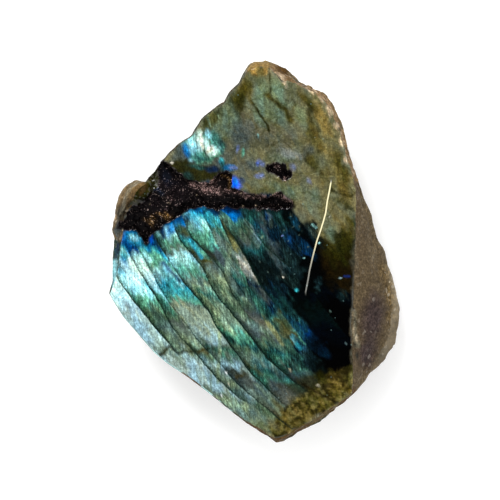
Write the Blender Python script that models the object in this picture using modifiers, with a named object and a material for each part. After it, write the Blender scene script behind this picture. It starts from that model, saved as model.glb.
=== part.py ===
"""A rough chunk of labradorite with one face sawn flat and polished.

The stone is one natural piece. It lies with its polished face up and rests on a flat
cleavage facet. The origin is at the middle of that facet's level, under the centre of the
stone. X runs across the face, Y runs along it towards the chipped tip, and Z is up.
Everything is worked out in millimetres and turned into metres at the end.
"""

import bmesh
import bpy
import numpy as np

NAME = "labradorite_chunk"

# Driving dimensions
THICKNESS = 24.0          # resting facet to polished face
LENGTH = 83.7             # along Y, chipped tip to lower point
WIDTH = 63.9              # along X, rounded lump to the bulge on the right
METRES = 0.001            # one millimetre

# How finely the outside is faceted
SPOKES = 144              # facets around the stone
SHOULDER_ROWS = 5         # from the edge of the polished face out to the widest line
FLANK_ROWS = 13           # from the widest line down to the resting facet

# Edge of the polished face, anticlockwise from the right: x, y
EDGE = np.array([
    (22.1, 0.4), (22.3, 5.2), (22.4, 13.6), (21.8, 16.2), (21.1, 18.9), (20.1, 21.1),
    (19.5, 23.5), (18.9, 26.3), (18.0, 28.5), (17.1, 30.7), (16.0, 32.5), (14.5, 34.0),
    (12.9, 35.3), (11.2, 36.0), (9.4, 37.0), (7.9, 37.3), (5.7, 37.9), (4.6, 39.1),
    (3.5, 40.0), (2.1, 40.9), (0.4, 40.6), (-1.2, 39.8), (-2.3, 38.4), (-3.1, 36.9),
    (-5.3, 34.6), (-6.5, 32.6), (-9.1, 31.1), (-11.5, 28.9), (-13.6, 25.5), (-16.2, 23.7),
    (-18.2, 21.9), (-20.3, 19.6), (-22.1, 17.2), (-24.1, 14.9), (-26.0, 12.9), (-27.4, 9.6),
    (-28.1, 7.4), (-28.8, 4.6), (-29.3, 1.5), (-29.6, -1.4), (-29.9, -4.0), (-31.0, -7.5),
    (-31.6, -9.1), (-30.9, -10.5), (-28.7, -14.1), (-24.8, -18.5), (-21.7, -22.1),
    (-19.9, -23.7), (-14.5, -27.2), (-10.0, -30.6), (-4.7, -35.0), (-1.0, -37.7),
    (1.7, -39.2), (3.5, -40.5), (4.8, -41.2), (6.5, -40.8), (8.3, -39.7), (12.7, -37.2),
    (14.9, -35.7), (18.9, -33.2), (21.5, -31.2), (21.7, -26.9), (21.6, -21.6),
    (21.4, -16.1), (21.9, -5.6),
])

# Widest line of the stone, the same way round: x, y, how far it lies below the polished
# face, and how round the shoulder above it is (1 is a flat facet, 2 a full curve)
WIDEST = np.array([
    (28.7, 0.1, 9.0, 1.1), (26.9, 3.2, 7.5, 1.1), (25.7, 8.3, 5.0, 1.1), (24.3, 11.4, 3.5, 1.1),
    (23.2, 14.6, 2.6, 1.1), (22.0, 18.3, 2.2, 1.0), (20.5, 22.6, 2.0, 1.0), (19.7, 26.9, 2.2, 1.0),
    (18.4, 30.0, 2.4, 1.0), (17.1, 32.7, 2.6, 1.0), (15.2, 34.9, 2.4, 1.0), (13.3, 35.9, 2.2, 1.0),
    (10.1, 37.3, 2.5, 1.0), (9.2, 38.3, 3.6, 1.2), (6.9, 40.3, 4.2, 1.2), (4.8, 41.1, 3.0, 1.2),
    (2.7, 41.8, 1.8, 1.4), (0.0, 41.8, 1.8, 1.4), (-1.1, 41.2, 1.5, 1.3), (-2.5, 39.2, 1.2, 1.2),
    (-3.4, 37.1, 1.0, 1.0), (-5.6, 34.9, 1.0, 1.0), (-6.7, 32.9, 1.0, 1.0), (-9.2, 31.3, 1.0, 1.0),
    (-11.7, 29.1, 1.0, 1.0), (-13.7, 25.7, 0.9, 1.0), (-16.4, 23.9, 1.0, 1.0),
    (-18.4, 22.1, 1.0, 1.0), (-20.4, 19.9, 1.4, 1.0), (-22.2, 17.4, 1.4, 1.0),
    (-24.2, 15.3, 1.8, 1.0), (-25.4, 15.8, 3.2, 2.0), (-26.3, 15.7, 3.5, 2.2),
    (-27.8, 14.9, 3.8, 2.2), (-29.4, 13.3, 4.2, 2.2), (-30.3, 10.6, 4.6, 2.2),
    (-30.7, 7.5, 4.4, 2.0), (-31.3, 5.0, 3.8, 1.8), (-30.7, 2.6, 2.8, 1.5),
    (-31.1, -1.4, 2.2, 1.3), (-31.1, -6.4, 1.4, 1.1), (-31.9, -9.1, 0.8, 1.0),
    (-31.1, -10.6, 0.6, 1.0), (-28.8, -14.2, 0.6, 1.0), (-25.0, -18.7, 0.6, 1.0),
    (-21.8, -22.3, 0.7, 1.0), (-18.4, -25.0, 0.7, 1.0), (-14.6, -27.5, 0.7, 1.0),
    (-10.1, -30.9, 0.7, 1.0), (-4.7, -35.3, 0.9, 1.0), (-1.1, -38.0, 1.1, 1.0),
    (2.3, -40.1, 1.6, 1.2), (4.8, -41.9, 2.0, 1.3), (6.5, -41.5, 2.2, 1.3),
    (8.5, -40.4, 2.6, 1.2), (9.6, -39.2, 2.8, 1.1), (11.8, -38.7, 3.2, 1.1),
    (14.6, -37.3, 3.2, 1.1), (16.3, -35.6, 3.0, 1.1), (19.4, -33.3, 2.4, 1.0),
    (21.9, -31.1, 1.6, 1.0), (24.3, -28.3, 5.0, 1.1), (25.3, -26.6, 6.4, 1.1),
    (27.4, -25.2, 8.4, 1.15), (28.9, -23.2, 9.8, 1.2), (30.9, -20.2, 11.2, 1.25),
    (31.7, -16.2, 12.0, 1.25), (32.0, -12.5, 12.0, 1.25), (31.3, -9.8, 11.4, 1.2),
    (30.3, -5.3, 10.2, 1.15), (29.3, -2.9, 9.6, 1.1),
])
SMALLEST_BEVEL = 0.15     # the widest line stands at least this far outside the edge

# Breaks that slope inwards under the widest line and just spare it: the way each one
# faces, in degrees from +X, and how far it leans in for each millimetre down
BREAKS = np.array([
    (2, 0.30), (-28, 0.55), (-52, 0.32), (-78, 0.62), (-103, 0.26), (-126, 0.42),
    (-150, 0.24), (-171, 0.50), (163, 0.30), (139, 0.55), (121, 0.28), (97, 0.48),
    (72, 0.26), (44, 0.55), (22, 0.34),
])

# Breaks that take the lower corners off: the way each one faces, how far out it meets the
# level of the resting facet, and its lean
UNDERCUTS = np.array([
    (12, 19.0, 1.25), (-33, 23.5, 0.95), (-66, 24.5, 1.45), (-97, 29.0, 1.10),
    (-131, 24.0, 1.50), (-162, 20.5, 0.95), (172, 18.0, 1.50), (146, 17.0, 1.00),
    (112, 23.5, 1.35), (84, 30.5, 0.95), (55, 24.0, 1.45), (33, 19.5, 1.05),
])

EDGE_ON = 0.05            # a break seen nearly edge on counts as facing at least this much

# Stepped ledges where the stone came away along its cleavage
LEDGES_AROUND = 19        # ledges in one turn
LEDGE_HEIGHT = 6.8        # usual height of one
LEDGE_STEP = 0.95         # how far one ledge stands behind the next
LEDGE_LEVELS = 4
LEDGE_TILT = 0.22         # slope of a ledge's own face
LEDGE_FLATNESS = 1.2      # a ledge is this much longer than it is high
LEDGE_SCATTER = 0.45      # how far one may lie off its place in the grid, as a share of it
LEDGE_SEED = 23
LEDGES_DEEPEN = 0.25      # share of the flank's height over which they reach full depth

# Rough hollow that runs in from the upper left side: outline and depth
HOLLOW = np.array([
    (-24.4, 17.6), (-21.6, 19.4), (-19.9, 20.0), (-17.7, 17.8), (-15.0, 15.7), (-12.6, 15.3),
    (-11.1, 14.8), (-9.7, 15.2), (-7.3, 17.1), (-6.0, 17.4), (-5.1, 16.8), (-5.2, 14.1),
    (-2.3, 12.8), (1.9, 12.0), (3.9, 12.0), (5.7, 12.7), (7.6, 11.3), (8.3, 10.7),
    (8.1, 9.6), (3.9, 9.3), (-2.3, 9.8), (-6.7, 10.1), (-8.2, 9.3), (-12.2, 10.4),
    (-15.5, 9.2), (-16.6, 7.9), (-19.9, 6.0), (-22.7, 4.1), (-23.8, 1.9), (-24.7, 3.5),
    (-25.8, 5.0), (-29.9, 5.2), (-30.2, 8.3), (-28.0, 10.7), (-26.5, 12.0), (-23.8, 11.9),
    (-22.7, 13.1), (-22.6, 15.0),
])
HOLLOW_DEPTH = 1.5

# Small chipped pit near the middle of the upper half
PIT = np.array([
    (2.5, 18.1), (3.7, 19.2), (5.0, 19.6), (6.3, 19.0), (7.0, 18.0), (8.2, 16.9),
    (7.4, 16.1), (6.3, 15.9), (5.4, 16.7), (4.3, 17.3), (3.2, 17.5),
])
PIT_DEPTH = 1.1

# Broken floor of a hollow
CRUMB_SIZE = 0.9          # facet size of the rough floor
CRUMB_GRAIN = 2.2         # width of its lumps
CRUMB_HEIGHT = 1.1        # from the lowest to the highest lump
CUTTER_HEADROOM = 2.0     # the cutter stands this far above the polished face
WELD = 0.01               # corners this close together are one


def around(outline, turn):
    """Reads an outline's columns at each turn, along the straight line between corners.

    The straight line from corner A to corner B is crossed at the share
    a sin(turn - A) / (a sin(turn - A) + b sin(B - turn)), where a and b are the corners'
    distances from the middle.
    """
    corner = np.arctan2(outline[:, 1], outline[:, 0])
    order = np.argsort(corner)
    rows = outline[order][np.r_[-1, 0:len(order), 0]]
    corner = np.r_[corner[order[-1]] - 2 * np.pi, corner[order], corner[order[0]] + 2 * np.pi]
    reach = np.hypot(rows[:, 0], rows[:, 1])
    start = np.clip(np.searchsorted(corner, turn, side="right") - 1, 0, len(corner) - 2)
    lead = reach[start] * np.sin(turn - corner[start])
    lag = reach[start + 1] * np.sin(corner[start + 1] - turn)
    share = lead / (lead + lag)
    return rows[start] + (rows[start + 1] - rows[start]) * share[..., None]


def broken_reach(turn, height):
    """How far out the breaks leave the stone at each turn and height.

    A break that faces the angle f keeps r cos(turn - f) under its reach at floor level
    plus its lean times the height. The nearest of them all bounds the stone.
    """
    facing = np.radians(BREAKS[:, 0])
    lean = BREAKS[:, 1]
    corner = np.arctan2(WIDEST[:, 1], WIDEST[:, 0])
    distance = np.hypot(WIDEST[:, 0], WIDEST[:, 1])
    corner_height = THICKNESS - WIDEST[:, 2]
    spared = distance * np.cos(corner - facing[:, None]) - corner_height * lean[:, None]
    facing = np.r_[facing, np.radians(UNDERCUTS[:, 0])]
    lean = np.r_[lean, UNDERCUTS[:, 2]]
    floor_reach = np.r_[spared.max(axis=1), UNDERCUTS[:, 1]]
    towards = np.cos(turn[..., None] - facing)
    reach = (floor_reach + height[..., None] * lean) / np.maximum(towards, EDGE_ON)
    return reach.min(axis=-1)


def ledges(turn, height):
    """How far behind the breaks each ledge lies: nearest of a jittered grid of cells.

    Each cell has a whole number of steps, and its face tilts a little up and sideways.
    """
    table = np.random.RandomState(LEDGE_SEED)
    tiers = int(THICKNESS / LEDGE_HEIGHT) + 3
    shape = (LEDGES_AROUND, tiers)
    jitter_along = table.uniform(-LEDGE_SCATTER, LEDGE_SCATTER, shape)
    jitter_up = table.uniform(-LEDGE_SCATTER, LEDGE_SCATTER, shape)
    step = LEDGE_STEP * table.randint(0, LEDGE_LEVELS, shape)
    tilt_along = table.uniform(-LEDGE_TILT, LEDGE_TILT, shape)
    tilt_up = table.uniform(-LEDGE_TILT, LEDGE_TILT, shape)
    cell_width = np.pi * (LENGTH + WIDTH) / 2 / LEDGES_AROUND
    along = turn / (2 * np.pi) * LEDGES_AROUND
    up = height / LEDGE_HEIGHT + 1
    nearest = np.full(turn.shape, np.inf)
    behind = np.zeros(turn.shape)
    for side in (-1, 0, 1):
        for tier in (-1, 0, 1):
            column = np.floor(along).astype(int) + side
            row = np.clip(np.floor(up).astype(int) + tier, 0, tiers - 1)
            cell = (column % LEDGES_AROUND, row)
            off_along = (along - column - 0.5 - jitter_along[cell]) * cell_width
            off_up = (up - row - 0.5 - jitter_up[cell]) * LEDGE_HEIGHT
            distance = np.hypot(off_along, off_up * LEDGE_FLATNESS)
            face = step[cell] + tilt_along[cell] * off_along + tilt_up[cell] * off_up
            behind = np.where(distance < nearest, face, behind)
            nearest = np.minimum(distance, nearest)
    return np.maximum(behind, 0.0)


def stone_surface(turn, fall):
    """Points of the stone's outside, as x, y, z in millimetres.

    fall is 0 on the edge of the polished face, 1 on the widest line and 2 on the edge of
    the resting facet. Above the widest line the stone is a shoulder between two outlines.
    Below it the wall drops straight until a break or a ledge takes it further in.
    """
    edge = around(EDGE, turn)
    widest = around(WIDEST, turn)
    edge_reach = np.hypot(edge[..., 0], edge[..., 1])
    widest_reach = np.hypot(widest[..., 0], widest[..., 1])
    widest_reach = np.maximum(widest_reach, edge_reach + SMALLEST_BEVEL)
    drop = widest[..., 2]
    out = np.clip(fall, 0, 1)
    down = np.clip(fall - 1, 0, 1)
    shoulder_reach = edge_reach + (widest_reach - edge_reach) * out
    shoulder_height = THICKNESS - drop * out ** widest[..., 3]
    height = shoulder_height * (1 - down)
    deepening = np.clip(down / LEDGES_DEEPEN, 0, 1)
    reach = np.minimum(shoulder_reach, broken_reach(turn, height))
    reach = np.where(down > 0, reach - ledges(turn, height) * deepening, shoulder_reach)
    return reach * np.cos(turn), reach * np.sin(turn), height


def stone_mesh():
    """A globe whose rows are laid on the stone: pole, edge, shoulder, flank, foot, pole."""
    rows = 1 + SHOULDER_ROWS + FLANK_ROWS + 1
    shape = bmesh.new()
    bmesh.ops.create_uvsphere(shape, u_segments=SPOKES, v_segments=rows, radius=1.0)
    globe = np.array([vertex.co for vertex in shape.verts])
    row = np.rint(np.arccos(np.clip(globe[:, 2], -1, 1)) / np.pi * rows)
    turn = np.arctan2(globe[:, 1], globe[:, 0])
    on_shoulder = (row - 1) / SHOULDER_ROWS
    on_flank = 1 + (row - 1 - SHOULDER_ROWS) / FLANK_ROWS
    fall = np.where(row <= 1 + SHOULDER_ROWS, on_shoulder, on_flank)
    x, y, z = stone_surface(turn, np.clip(fall, 0, 2))
    pole = (row == 0) | (row == rows)
    x = np.where(pole, 0.0, x)
    y = np.where(pole, 0.0, y)
    z = np.where(row == rows, 0.0, np.where(row == 0, THICKNESS, z))
    for vertex, place in zip(shape.verts, np.stack([x, y, z], axis=1) * METRES):
        vertex.co = place
    bmesh.ops.triangulate(shape, faces=shape.faces)
    mesh = bpy.data.meshes.new(NAME)
    shape.to_mesh(mesh)
    shape.free()
    return mesh


def finish(name, colour, roughness):
    """A plain material of one colour."""
    material = bpy.data.materials.new(name)
    material.use_nodes = True
    shader = material.node_tree.nodes["Principled BSDF"]
    shader.inputs["Base Color"].default_value = (*colour, 1.0)
    shader.inputs["Roughness"].default_value = roughness
    shader.inputs["Metallic"].default_value = 0.0
    material.diffuse_color = (*colour, 1.0)
    return material


def hollow_cutter(name, outline, depth, collection):
    """A slab of the hollow's outline with a lumpy underside, standing in the face."""
    flat = bpy.data.curves.new(name + "_outline", "CURVE")
    flat.dimensions = "2D"
    flat.fill_mode = "BOTH"
    flat.extrude = (depth + CUTTER_HEADROOM) / 2 * METRES
    line = flat.splines.new("POLY")
    line.points.add(len(outline) - 1)
    for point, (x, y) in zip(line.points, outline):
        point.co = (x * METRES, y * METRES, 0.0, 1.0)
    line.use_cyclic_u = True
    guide = bpy.data.objects.new(name + "_outline", flat)
    guide.location.z = (THICKNESS + (CUTTER_HEADROOM - depth) / 2) * METRES
    collection.objects.link(guide)
    bpy.context.view_layer.update()
    evaluated = guide.evaluated_get(bpy.context.evaluated_depsgraph_get())
    mesh = bpy.data.meshes.new_from_object(evaluated)
    mesh.name = name
    body = bmesh.new()
    body.from_mesh(mesh)
    bmesh.ops.remove_doubles(body, verts=body.verts, dist=WELD * METRES)
    bmesh.ops.recalc_face_normals(body, faces=body.faces)
    body.to_mesh(mesh)
    body.free()
    cutter = bpy.data.objects.new(name, mesh)
    cutter.matrix_world = guide.matrix_world
    collection.objects.link(cutter)
    bpy.data.objects.remove(guide, do_unlink=True)

    crumble = cutter.modifiers.new("crumbs", "REMESH")
    crumble.mode = "VOXEL"
    crumble.voxel_size = CRUMB_SIZE * METRES
    lumps = bpy.data.textures.new(name + "_lumps", "CLOUDS")
    lumps.noise_scale = CRUMB_GRAIN * METRES
    lumps.noise_depth = 1
    uneven = cutter.modifiers.new("uneven", "DISPLACE")
    uneven.texture = lumps
    uneven.texture_coords = "GLOBAL"
    uneven.direction = "Z"
    uneven.strength = CRUMB_HEIGHT * METRES
    cutter.hide_render = True
    cutter.display_type = "WIRE"
    return cutter


def build():
    """Makes the stone, then breaks the hollow and the pit out of its polished face."""
    for old in list(bpy.data.objects):
        bpy.data.objects.remove(old, do_unlink=True)
    stone_collection = bpy.data.collections.new("rough_labradorite_chunk")
    cutter_collection = bpy.data.collections.new("cutters")
    bpy.context.scene.collection.children.link(stone_collection)
    bpy.context.scene.collection.children.link(cutter_collection)

    mesh = stone_mesh()
    mesh.materials.append(finish("labradorite", (0.12, 0.15, 0.13), 0.35))
    stone = bpy.data.objects.new(NAME, mesh)
    stone_collection.objects.link(stone)
    for name, outline, depth in (("hollow", HOLLOW, HOLLOW_DEPTH), ("pit", PIT, PIT_DEPTH)):
        cut = stone.modifiers.new(name, "BOOLEAN")
        cut.operation = "DIFFERENCE"
        cut.solver = "EXACT"
        cut.object = hollow_cutter(name + "_cutter", outline, depth, cutter_collection)


build()
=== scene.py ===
"""The look of a rough labradorite chunk with one flat polished face, lying on a pale floor."""

import bpy
import numpy as np
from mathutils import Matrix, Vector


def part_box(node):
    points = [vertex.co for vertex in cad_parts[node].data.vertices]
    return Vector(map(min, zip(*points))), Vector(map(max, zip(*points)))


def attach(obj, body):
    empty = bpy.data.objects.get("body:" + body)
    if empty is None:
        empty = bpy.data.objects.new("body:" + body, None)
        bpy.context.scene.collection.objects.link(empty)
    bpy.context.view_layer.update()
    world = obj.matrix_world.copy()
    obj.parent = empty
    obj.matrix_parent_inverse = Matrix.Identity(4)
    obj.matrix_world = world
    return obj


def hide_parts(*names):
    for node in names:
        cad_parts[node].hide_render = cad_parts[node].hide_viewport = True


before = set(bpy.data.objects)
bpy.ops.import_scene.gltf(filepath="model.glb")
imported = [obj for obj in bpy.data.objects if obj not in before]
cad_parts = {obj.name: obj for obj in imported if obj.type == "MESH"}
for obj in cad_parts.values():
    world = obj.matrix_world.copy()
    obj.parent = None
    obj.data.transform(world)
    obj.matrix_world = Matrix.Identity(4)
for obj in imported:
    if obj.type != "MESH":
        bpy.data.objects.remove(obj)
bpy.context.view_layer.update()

# The stone's outside
# One natural lump of labradorite, a feldspar. Its top was sawn off flat and polished. The
# sides are broken along the cleavage in slopes, ledges and chips, and it lies on a flat break.
NODE = "labradorite_chunk"
METRES = 0.001            # one millimetre: the stone is worked out in millimetres
low, high = [np.array(corner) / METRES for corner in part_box(NODE)]
THICKNESS = high[2] - low[2]
LENGTH = high[1] - low[1]
WIDTH = high[0] - low[0]

# Edge of the polished face, anticlockwise from the right: x, y, how ragged it is
EDGE = np.array([
    (22.1, 0.4, .12), (22.3, 5.2, .12), (22.4, 13.6, .2), (21.8, 16.2, .25), (21.1, 18.9, .25),
    (20.1, 21.1, .25), (19.5, 23.5, .3), (18.9, 26.3, .35), (18.0, 28.5, .35), (17.1, 30.7, .35),
    (16.0, 32.5, .35), (14.5, 34.0, .35), (12.9, 35.3, .35), (11.2, 36.0, .35), (9.4, 37.0, .4),
    (7.9, 37.3, .4), (5.7, 37.9, .4), (4.6, 39.1, .35), (3.5, 40.0, .3), (2.1, 40.9, .3),
    (0.4, 40.6, .3), (-1.2, 39.8, .2), (-2.3, 38.4, .15), (-3.1, 36.9, .1), (-5.3, 34.6, .15),
    (-6.5, 32.6, .15), (-9.1, 31.1, .15), (-11.5, 28.9, .15), (-13.6, 25.5, .1),
    (-16.2, 23.7, .1), (-18.2, 21.9, .15), (-20.3, 19.6, .2), (-22.1, 17.2, .2),
    (-24.1, 14.9, .2), (-26.0, 12.9, .2), (-27.4, 9.6, .25), (-28.1, 7.4, .25), (-28.8, 4.6, .15),
    (-29.3, 1.5, .05), (-29.6, -1.4, .05), (-29.9, -4.0, .05), (-31.0, -7.5, .05),
    (-31.6, -9.1, 0), (-30.9, -10.5, 0), (-28.7, -14.1, 0), (-24.8, -18.5, .04),
    (-21.7, -22.1, .06), (-19.9, -23.7, .1), (-14.5, -27.2, 0), (-10.0, -30.6, .04),
    (-4.7, -35.0, .08), (-1.0, -37.7, .1), (1.7, -39.2, .2), (3.5, -40.5, .25), (4.8, -41.2, .25),
    (6.5, -40.8, .25), (8.3, -39.7, .3), (12.7, -37.2, .4), (14.9, -35.7, .4), (18.9, -33.2, .3),
    (21.5, -31.2, .12), (21.7, -26.9, .12), (21.6, -21.6, .3), (21.4, -16.1, .3), (21.9, -5.6, .12),
])

# Widest line, the same way round: x, y, depth under the polished face, how round the
# shoulder above it is (1 is a flat slope, 2 a full curve)
WIDEST = np.array([
    (28.7, 0.1, 9.0, 1.1), (26.9, 3.2, 7.5, 1.1), (25.7, 8.3, 5.0, 1.1), (24.3, 11.4, 3.5, 1.1),
    (23.2, 14.6, 2.6, 1.1), (22.0, 18.3, 2.2, 1.0), (20.5, 22.6, 2.0, 1.0), (19.7, 26.9, 2.2, 1.0),
    (18.4, 30.0, 2.4, 1.0), (17.1, 32.7, 2.6, 1.0), (15.2, 34.9, 2.4, 1.0), (13.3, 35.9, 2.2, 1.0),
    (10.1, 37.3, 2.5, 1.0), (9.2, 38.3, 3.6, 1.2), (6.9, 40.3, 4.2, 1.2), (4.8, 41.1, 3.0, 1.2),
    (2.7, 41.8, 1.8, 1.4), (0.0, 41.8, 1.8, 1.4), (-1.1, 41.2, 1.5, 1.3), (-2.5, 39.2, 1.2, 1.2),
    (-3.4, 37.1, 1.0, 1.0), (-5.6, 34.9, 1.0, 1.0), (-6.7, 32.9, 1.0, 1.0), (-9.2, 31.3, 1.0, 1.0),
    (-11.7, 29.1, 1.0, 1.0), (-13.7, 25.7, 0.9, 1.0), (-16.4, 23.9, 1.0, 1.0),
    (-18.4, 22.1, 1.0, 1.0), (-20.4, 19.9, 1.4, 1.0), (-22.2, 17.4, 1.4, 1.0),
    (-24.2, 15.3, 1.8, 1.0), (-25.4, 15.8, 3.2, 2.0), (-26.3, 15.7, 3.5, 2.2),
    (-27.8, 14.9, 3.8, 2.2), (-29.4, 13.3, 4.2, 2.2), (-30.3, 10.6, 4.6, 2.2),
    (-30.7, 7.5, 4.4, 2.0), (-31.3, 5.0, 3.8, 1.8), (-30.7, 2.6, 2.8, 1.5),
    (-31.1, -1.4, 2.2, 1.3), (-31.1, -6.4, 1.4, 1.1), (-31.9, -9.1, 0.8, 1.0),
    (-31.1, -10.6, 0.6, 1.0), (-28.8, -14.2, 0.6, 1.0), (-25.0, -18.7, 0.6, 1.0),
    (-21.8, -22.3, 0.7, 1.0), (-18.4, -25.0, 0.7, 1.0), (-14.6, -27.5, 0.7, 1.0),
    (-10.1, -30.9, 0.7, 1.0), (-4.7, -35.3, 0.9, 1.0), (-1.1, -38.0, 1.1, 1.0),
    (2.3, -40.1, 1.6, 1.2), (4.8, -41.9, 2.0, 1.3), (6.5, -41.5, 2.2, 1.3),
    (8.5, -40.4, 2.6, 1.2), (9.6, -39.2, 2.8, 1.1), (11.8, -38.7, 3.2, 1.1),
    (14.6, -37.3, 3.2, 1.1), (16.3, -35.6, 3.0, 1.1), (19.4, -33.3, 2.4, 1.0),
    (21.9, -31.1, 1.6, 1.0), (24.3, -28.3, 5.0, 1.1), (25.3, -26.6, 6.4, 1.1),
    (27.4, -25.2, 8.4, 1.15), (28.9, -23.2, 9.8, 1.2), (30.9, -20.2, 11.2, 1.25),
    (31.7, -16.2, 12.0, 1.25), (32.0, -12.5, 12.0, 1.25), (31.3, -9.8, 11.4, 1.2),
    (30.3, -5.3, 10.2, 1.15), (29.3, -2.9, 9.6, 1.1),
])
SMALLEST_BEVEL = 0.15     # the widest line stands at least this far outside the edge
EYE_ABOVE = 1280.0        # the line was read from this far above, where deeper places look smaller

# Breaks under the widest line: the way each faces in degrees, and its lean inwards
BREAKS = np.array([
    (2, 0.30), (-28, 0.55), (-52, 0.32), (-78, 0.62), (-103, 0.26), (-126, 0.42),
    (-150, 0.24), (-171, 0.50), (163, 0.30), (139, 0.55), (121, 0.28), (97, 0.48),
    (72, 0.26), (44, 0.55), (22, 0.34),
])
# Breaks across the lower corners: the way each faces, its reach at floor level, its lean
UNDERCUTS = np.array([
    (12, 19.0, 1.25), (-33, 23.5, 0.95), (-66, 24.5, 1.45), (-97, 29.0, 1.10),
    (-131, 24.0, 1.50), (-162, 20.5, 0.95), (172, 18.0, 1.50), (146, 17.0, 1.00),
    (112, 23.5, 1.35), (84, 30.5, 0.95), (55, 24.0, 1.45), (33, 19.5, 1.05),
])
EDGE_ON = 0.05            # a break seen nearly edge on counts as this much turned towards

# Stepped ledges on the breaks
LEDGES_AROUND = 19
LEDGE_HEIGHT = 6.8
LEDGE_STEP = 0.95         # each ledge stands back a whole number of these
LEDGE_LEVELS = 4
LEDGE_TILT = 0.22
LEDGE_FLATNESS = 1.2
LEDGE_SCATTER = 0.45
LEDGE_SEED = 23
LEDGES_DEEPEN = 0.25      # share of the flank over which they reach their full depth

# Chips in the broken stone: how deep they bite on the shoulder, near the widest line, on the
# flank and in the base
SHOULDER_BITE = 0.10
RIM_BITE = 0.30
FLANK_BITE = 0.75
BASE_DENT = 0.35

# The crumbly hollow that runs in from the upper left, and the small pit above its end
HOLLOW = np.array([
    (-24.4, 17.6), (-21.6, 19.4), (-19.9, 20.0), (-17.7, 17.8), (-15.0, 15.7), (-12.6, 15.3),
    (-11.1, 14.8), (-9.7, 15.2), (-7.3, 17.1), (-6.0, 17.4), (-5.1, 16.8), (-5.2, 14.1),
    (-2.3, 12.8), (1.9, 12.0), (3.9, 12.0), (5.7, 12.7), (7.6, 11.3), (8.3, 10.7),
    (8.1, 9.6), (3.9, 9.3), (-2.3, 9.8), (-6.7, 10.1), (-8.2, 9.3), (-12.2, 10.4),
    (-15.5, 9.2), (-16.6, 7.9), (-19.9, 6.0), (-22.7, 4.1), (-23.8, 1.9), (-24.7, 3.5),
    (-25.8, 5.0), (-29.9, 5.2), (-30.2, 8.3), (-28.0, 10.7), (-26.5, 12.0), (-23.8, 11.9),
    (-22.7, 13.1), (-22.6, 15.0),
])
PIT = np.array([
    (2.5, 18.1), (3.7, 19.2), (5.0, 19.6), (6.3, 19.0), (7.0, 18.0), (8.2, 16.9),
    (7.4, 16.1), (6.3, 15.9), (5.4, 16.7), (4.3, 17.3), (3.2, 17.5),
])
HOLLOW_DEPTH = 1.5
PIT_DEPTH = 1.1
SHALLOWEST = 0.25
WALL_RUN = 0.55           # how far the hollow's wall runs inwards on its way down
OUTLINE_WANDER = 0.35     # how far its outline strays

# Rows of the mesh: across the polished face, down the shoulder, down the flank, over the base
SPOKES = 560
FACE_ROWS = 92
SHOULDER_ROWS = 26
FLANK_ROWS = 42
BASE_ROWS = 12
SHARP_ANGLE = 38          # facets that meet at more degrees than this keep a sharp edge


def around(outline, turn):
    """Reads an outline's columns at each turn, along the straight line between corners.

    The line from corner A to corner B is crossed at the share
    a sin(turn - A) / (a sin(turn - A) + b sin(B - turn)), for corners a and b away.
    """
    corner = np.arctan2(outline[:, 1], outline[:, 0])
    order = np.argsort(corner)
    rows = outline[order][np.r_[-1, 0:len(order), 0]]
    corner = np.r_[corner[order[-1]] - 2 * np.pi, corner[order], corner[order[0]] + 2 * np.pi]
    reach = np.hypot(rows[:, 0], rows[:, 1])
    start = np.clip(np.searchsorted(corner, turn, side="right") - 1, 0, len(corner) - 2)
    lead = reach[start] * np.sin(turn - corner[start])
    lag = reach[start + 1] * np.sin(corner[start + 1] - turn)
    share = lead / (lead + lag)
    return rows[start] + (rows[start + 1] - rows[start]) * share[..., None]


def broken_reach(turn, height):
    """Distance from the middle to the nearest break: (reach + lean x height) / cos."""
    facing = np.radians(BREAKS[:, 0])
    lean = BREAKS[:, 1]
    corner = np.arctan2(WIDEST[:, 1], WIDEST[:, 0])
    distance = np.hypot(WIDEST[:, 0], WIDEST[:, 1])
    corner_height = THICKNESS - WIDEST[:, 2]
    spared = distance * np.cos(corner - facing[:, None]) - corner_height * lean[:, None]
    facing = np.r_[facing, np.radians(UNDERCUTS[:, 0])]
    lean = np.r_[lean, UNDERCUTS[:, 2]]
    floor_reach = np.r_[spared.max(axis=1), UNDERCUTS[:, 1]]
    towards = np.cos(turn[..., None] - facing)
    reach = (floor_reach + height[..., None] * lean) / np.maximum(towards, EDGE_ON)
    return reach.min(axis=-1)


def ledges(turn, height):
    """Depth of the stepped ledges: a jittered grid of cells, each a whole number of steps."""
    table = np.random.RandomState(LEDGE_SEED)
    tiers = int(THICKNESS / LEDGE_HEIGHT + 1e-6) + 3
    shape = (LEDGES_AROUND, tiers)
    jitter_along = table.uniform(-LEDGE_SCATTER, LEDGE_SCATTER, shape)
    jitter_up = table.uniform(-LEDGE_SCATTER, LEDGE_SCATTER, shape)
    step = LEDGE_STEP * table.randint(0, LEDGE_LEVELS, shape)
    tilt_along = table.uniform(-LEDGE_TILT, LEDGE_TILT, shape)
    tilt_up = table.uniform(-LEDGE_TILT, LEDGE_TILT, shape)
    cell_width = np.pi * (LENGTH + WIDTH) / 2 / LEDGES_AROUND
    along = turn / (2 * np.pi) * LEDGES_AROUND
    up = height / LEDGE_HEIGHT + 1
    nearest = np.full(turn.shape, np.inf)
    behind = np.zeros(turn.shape)
    for side in (-1, 0, 1):
        for tier in (-1, 0, 1):
            column = np.floor(along).astype(int) + side
            row = np.clip(np.floor(up).astype(int) + tier, 0, tiers - 1)
            cell = (column % LEDGES_AROUND, row)
            off_along = (along - column - 0.5 - jitter_along[cell]) * cell_width
            off_up = (up - row - 0.5 - jitter_up[cell]) * LEDGE_HEIGHT
            distance = np.hypot(off_along, off_up * LEDGE_FLATNESS)
            face = step[cell] + tilt_along[cell] * off_along + tilt_up[cell] * off_up
            behind = np.where(distance < nearest, face, behind)
            nearest = np.minimum(distance, nearest)
    return np.maximum(behind, 0.0)


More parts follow.
